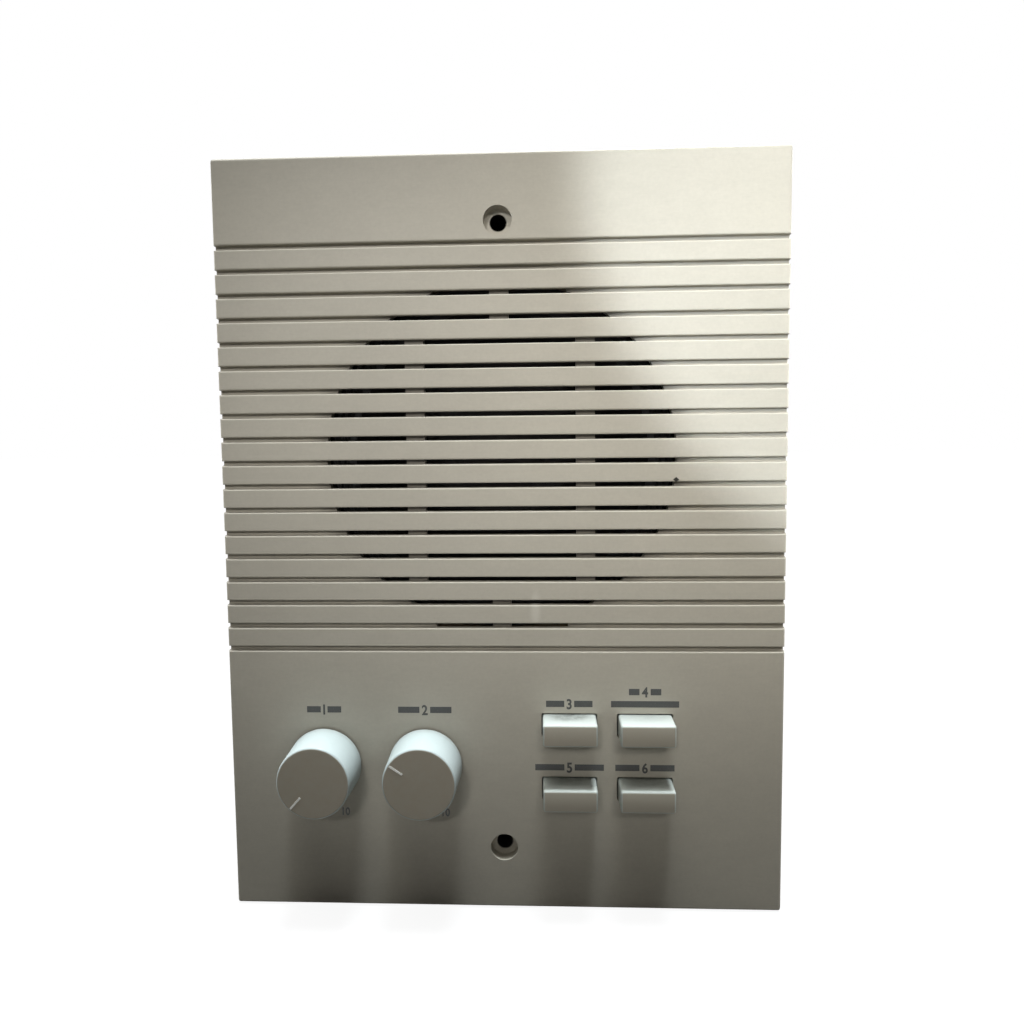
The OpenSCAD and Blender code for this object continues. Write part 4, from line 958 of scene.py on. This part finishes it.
def dark_backdrop():
    """Black, but clear to a camera behind it: a dark sheet for the painted shade of the wall box behind
    the screw holes.
    """
    material = bpy.data.materials.new("wall_box_dark")
    wiring = empty_wiring(material)
    behind = wiring.node("ShaderNodeNewGeometry", {}, {}, "Backfacing")
    dark = wiring.node("ShaderNodeBsdfDiffuse", {}, {"Color": (0.004, 0.004, 0.004)})
    clear = wiring.node("ShaderNodeBsdfTransparent", {}, {})
    surface = mixed_shaders(wiring, dark, clear, behind * seen(wiring, "Is Camera Ray"))
    wiring.node("ShaderNodeOutputMaterial", {}, {"Surface": surface})
    return material


def stage_piece(name, bm, material):
    """Part of the surroundings, which is no piece of the object."""
    mesh = bpy.data.meshes.new(name)
    bm.to_mesh(mesh)
    bm.free()
    mesh.materials.append(material)
    piece = bpy.data.objects.new(name, mesh)
    bpy.context.scene.collection.objects.link(piece)


def wall_box_dark():
    bm = bmesh.new()
    disc_r = SCREW_HOLE_R + 0.15 * MM
    for z in (-SCREW_HOLE_Z, SCREW_HOLE_Z):
        disc = bmesh.ops.create_circle(bm, cap_ends=True, segments=32, radius=disc_r)["verts"]
        upright(bm, disc)
        bmesh.ops.translate(bm, verts=disc, vec=(0, 0.05 * MM, z))
    stage_piece("wall_box_dark", bm, dark_backdrop())


def floor():
    bm = bmesh.new()
    bmesh.ops.create_grid(bm, x_segments=1, y_segments=1, size=4)
    bmesh.ops.translate(bm, verts=bm.verts, vec=(0, 0, panel_low.z - 0.5 * MM))
    stage_piece("floor", bm, pale_floor())


def aimed(name, lamp, place, target):
    """Puts a lamp in its place, pointing at the target and hidden from the camera."""
    holder = bpy.data.objects.new(name, lamp)
    holder.location = place
    holder.rotation_mode = "QUATERNION"
    holder.rotation_quaternion = (Vector(target) - Vector(place)).to_track_quat("-Z", "Y")
    holder.visible_camera = False
    bpy.context.scene.collection.objects.link(holder)


def sky_lamp(name, place, level, softness, colour):
    """Even light from far away. At level 1 a surface square to it renders in its own colour."""
    lamp = bpy.data.lights.new(name, "SUN")
    lamp.energy = level * math.pi
    lamp.angle = softness
    lamp.color = colour
    aimed(name, lamp, place, (0, 0, 0))


def area_lamp(name, place, target, size, watts, colour):
    lamp = bpy.data.lights.new(name, "AREA")
    lamp.shape = "SQUARE"
    lamp.size = size
    lamp.energy = watts
    lamp.color = colour
    aimed(name, lamp, place, target)


def spot_lamp(name, place, target, reach, fade, size, watts, colour):
    """A round pool of light that ends at reach from its middle, with a soft edge as wide as fade says."""
    lamp = bpy.data.lights.new(name, "SPOT")
    lamp.spot_size = 2 * math.atan(reach / (Vector(target) - Vector(place)).length)
    lamp.spot_blend = fade
    lamp.shadow_soft_size = size
    lamp.energy = watts
    lamp.color = colour
    aimed(name, lamp, place, target)


def world(ambient, strength):
    """White behind the object, and a dimmer soft light on it from all sides."""
    sky = bpy.data.worlds.new("studio")
    bpy.context.scene.world = sky
    wiring = empty_wiring(sky)
    shown = seen(wiring, "Is Camera Ray", "Is Glossy Ray", "Is Transmission Ray")
    soft = wiring.node("ShaderNodeBackground", {}, {"Color": ambient, "Strength": strength})
    white = wiring.node("ShaderNodeBackground", {}, {"Color": (1, 1, 1)})
    wiring.node("ShaderNodeOutputWorld", {}, {"Surface": mixed_shaders(wiring, soft, white, shown)})


def camera():
    """The photograph's point of view: close, a little right of the middle and above it."""
    lens = bpy.data.cameras.new("camera")
    lens.lens = 26.0156
    lens.sensor_width = 36
    lens.shift_x = 0.00114
    lens.shift_y = -0.03055
    lens.clip_start = 0.01
    viewer = bpy.data.objects.new("camera", lens)
    viewer.location = (0.013406, -0.247338, 0.037061)
    viewer.rotation_euler = [math.radians(turn) for turn in (85.8637, 0.6074, 2.3974)]
    bpy.context.scene.collection.objects.link(viewer)
    bpy.context.scene.camera = viewer


floor()
wall_box_dark()
sky_lamp("top_light", place=(0.05, -0.024, 1.0), level=1.5, softness=math.radians(10),
         colour=(0.93, 1.0, 1.05))
sky_lamp("ceiling_light", place=(-0.08, -0.15, 1.0), level=0.34, softness=math.radians(20),
         colour=(1.0, 1.0, 0.95))
spot_lamp("front_light", place=(0.20, -0.60, 0.38), target=(0.128, 0, 0.083), reach=0.1695, fade=1.0,
          size=0.06, watts=14.6, colour=(1.04, 1.0, 0.93))
spot_lamp("room_light", place=(-0.15, -0.60, 0.30), target=(-0.031, 0, 0.042), reach=0.107, fade=0.4,
          size=0.06, watts=9.0, colour=(1.02, 1.0, 0.97))
spot_lamp("window_light", place=(0.12, -0.60, 0.16), target=(0.171, 0, 0.126), reach=0.156, fade=0.16,
          size=0.01, watts=9.8, colour=(0.92, 1.0, 1.06))
for side, x in (("left", -0.60), ("right", 0.60)):
    area_lamp(side + "_back_light", place=(x, 0.35, 0.30), target=(0, 0, 0), size=0.8, watts=4.4,
              colour=(1.0, 0.98, 0.95))
world(ambient=(1.0, 0.84, 0.66), strength=0.013)
camera()
bpy.context.scene.view_settings.view_transform = "Standard"
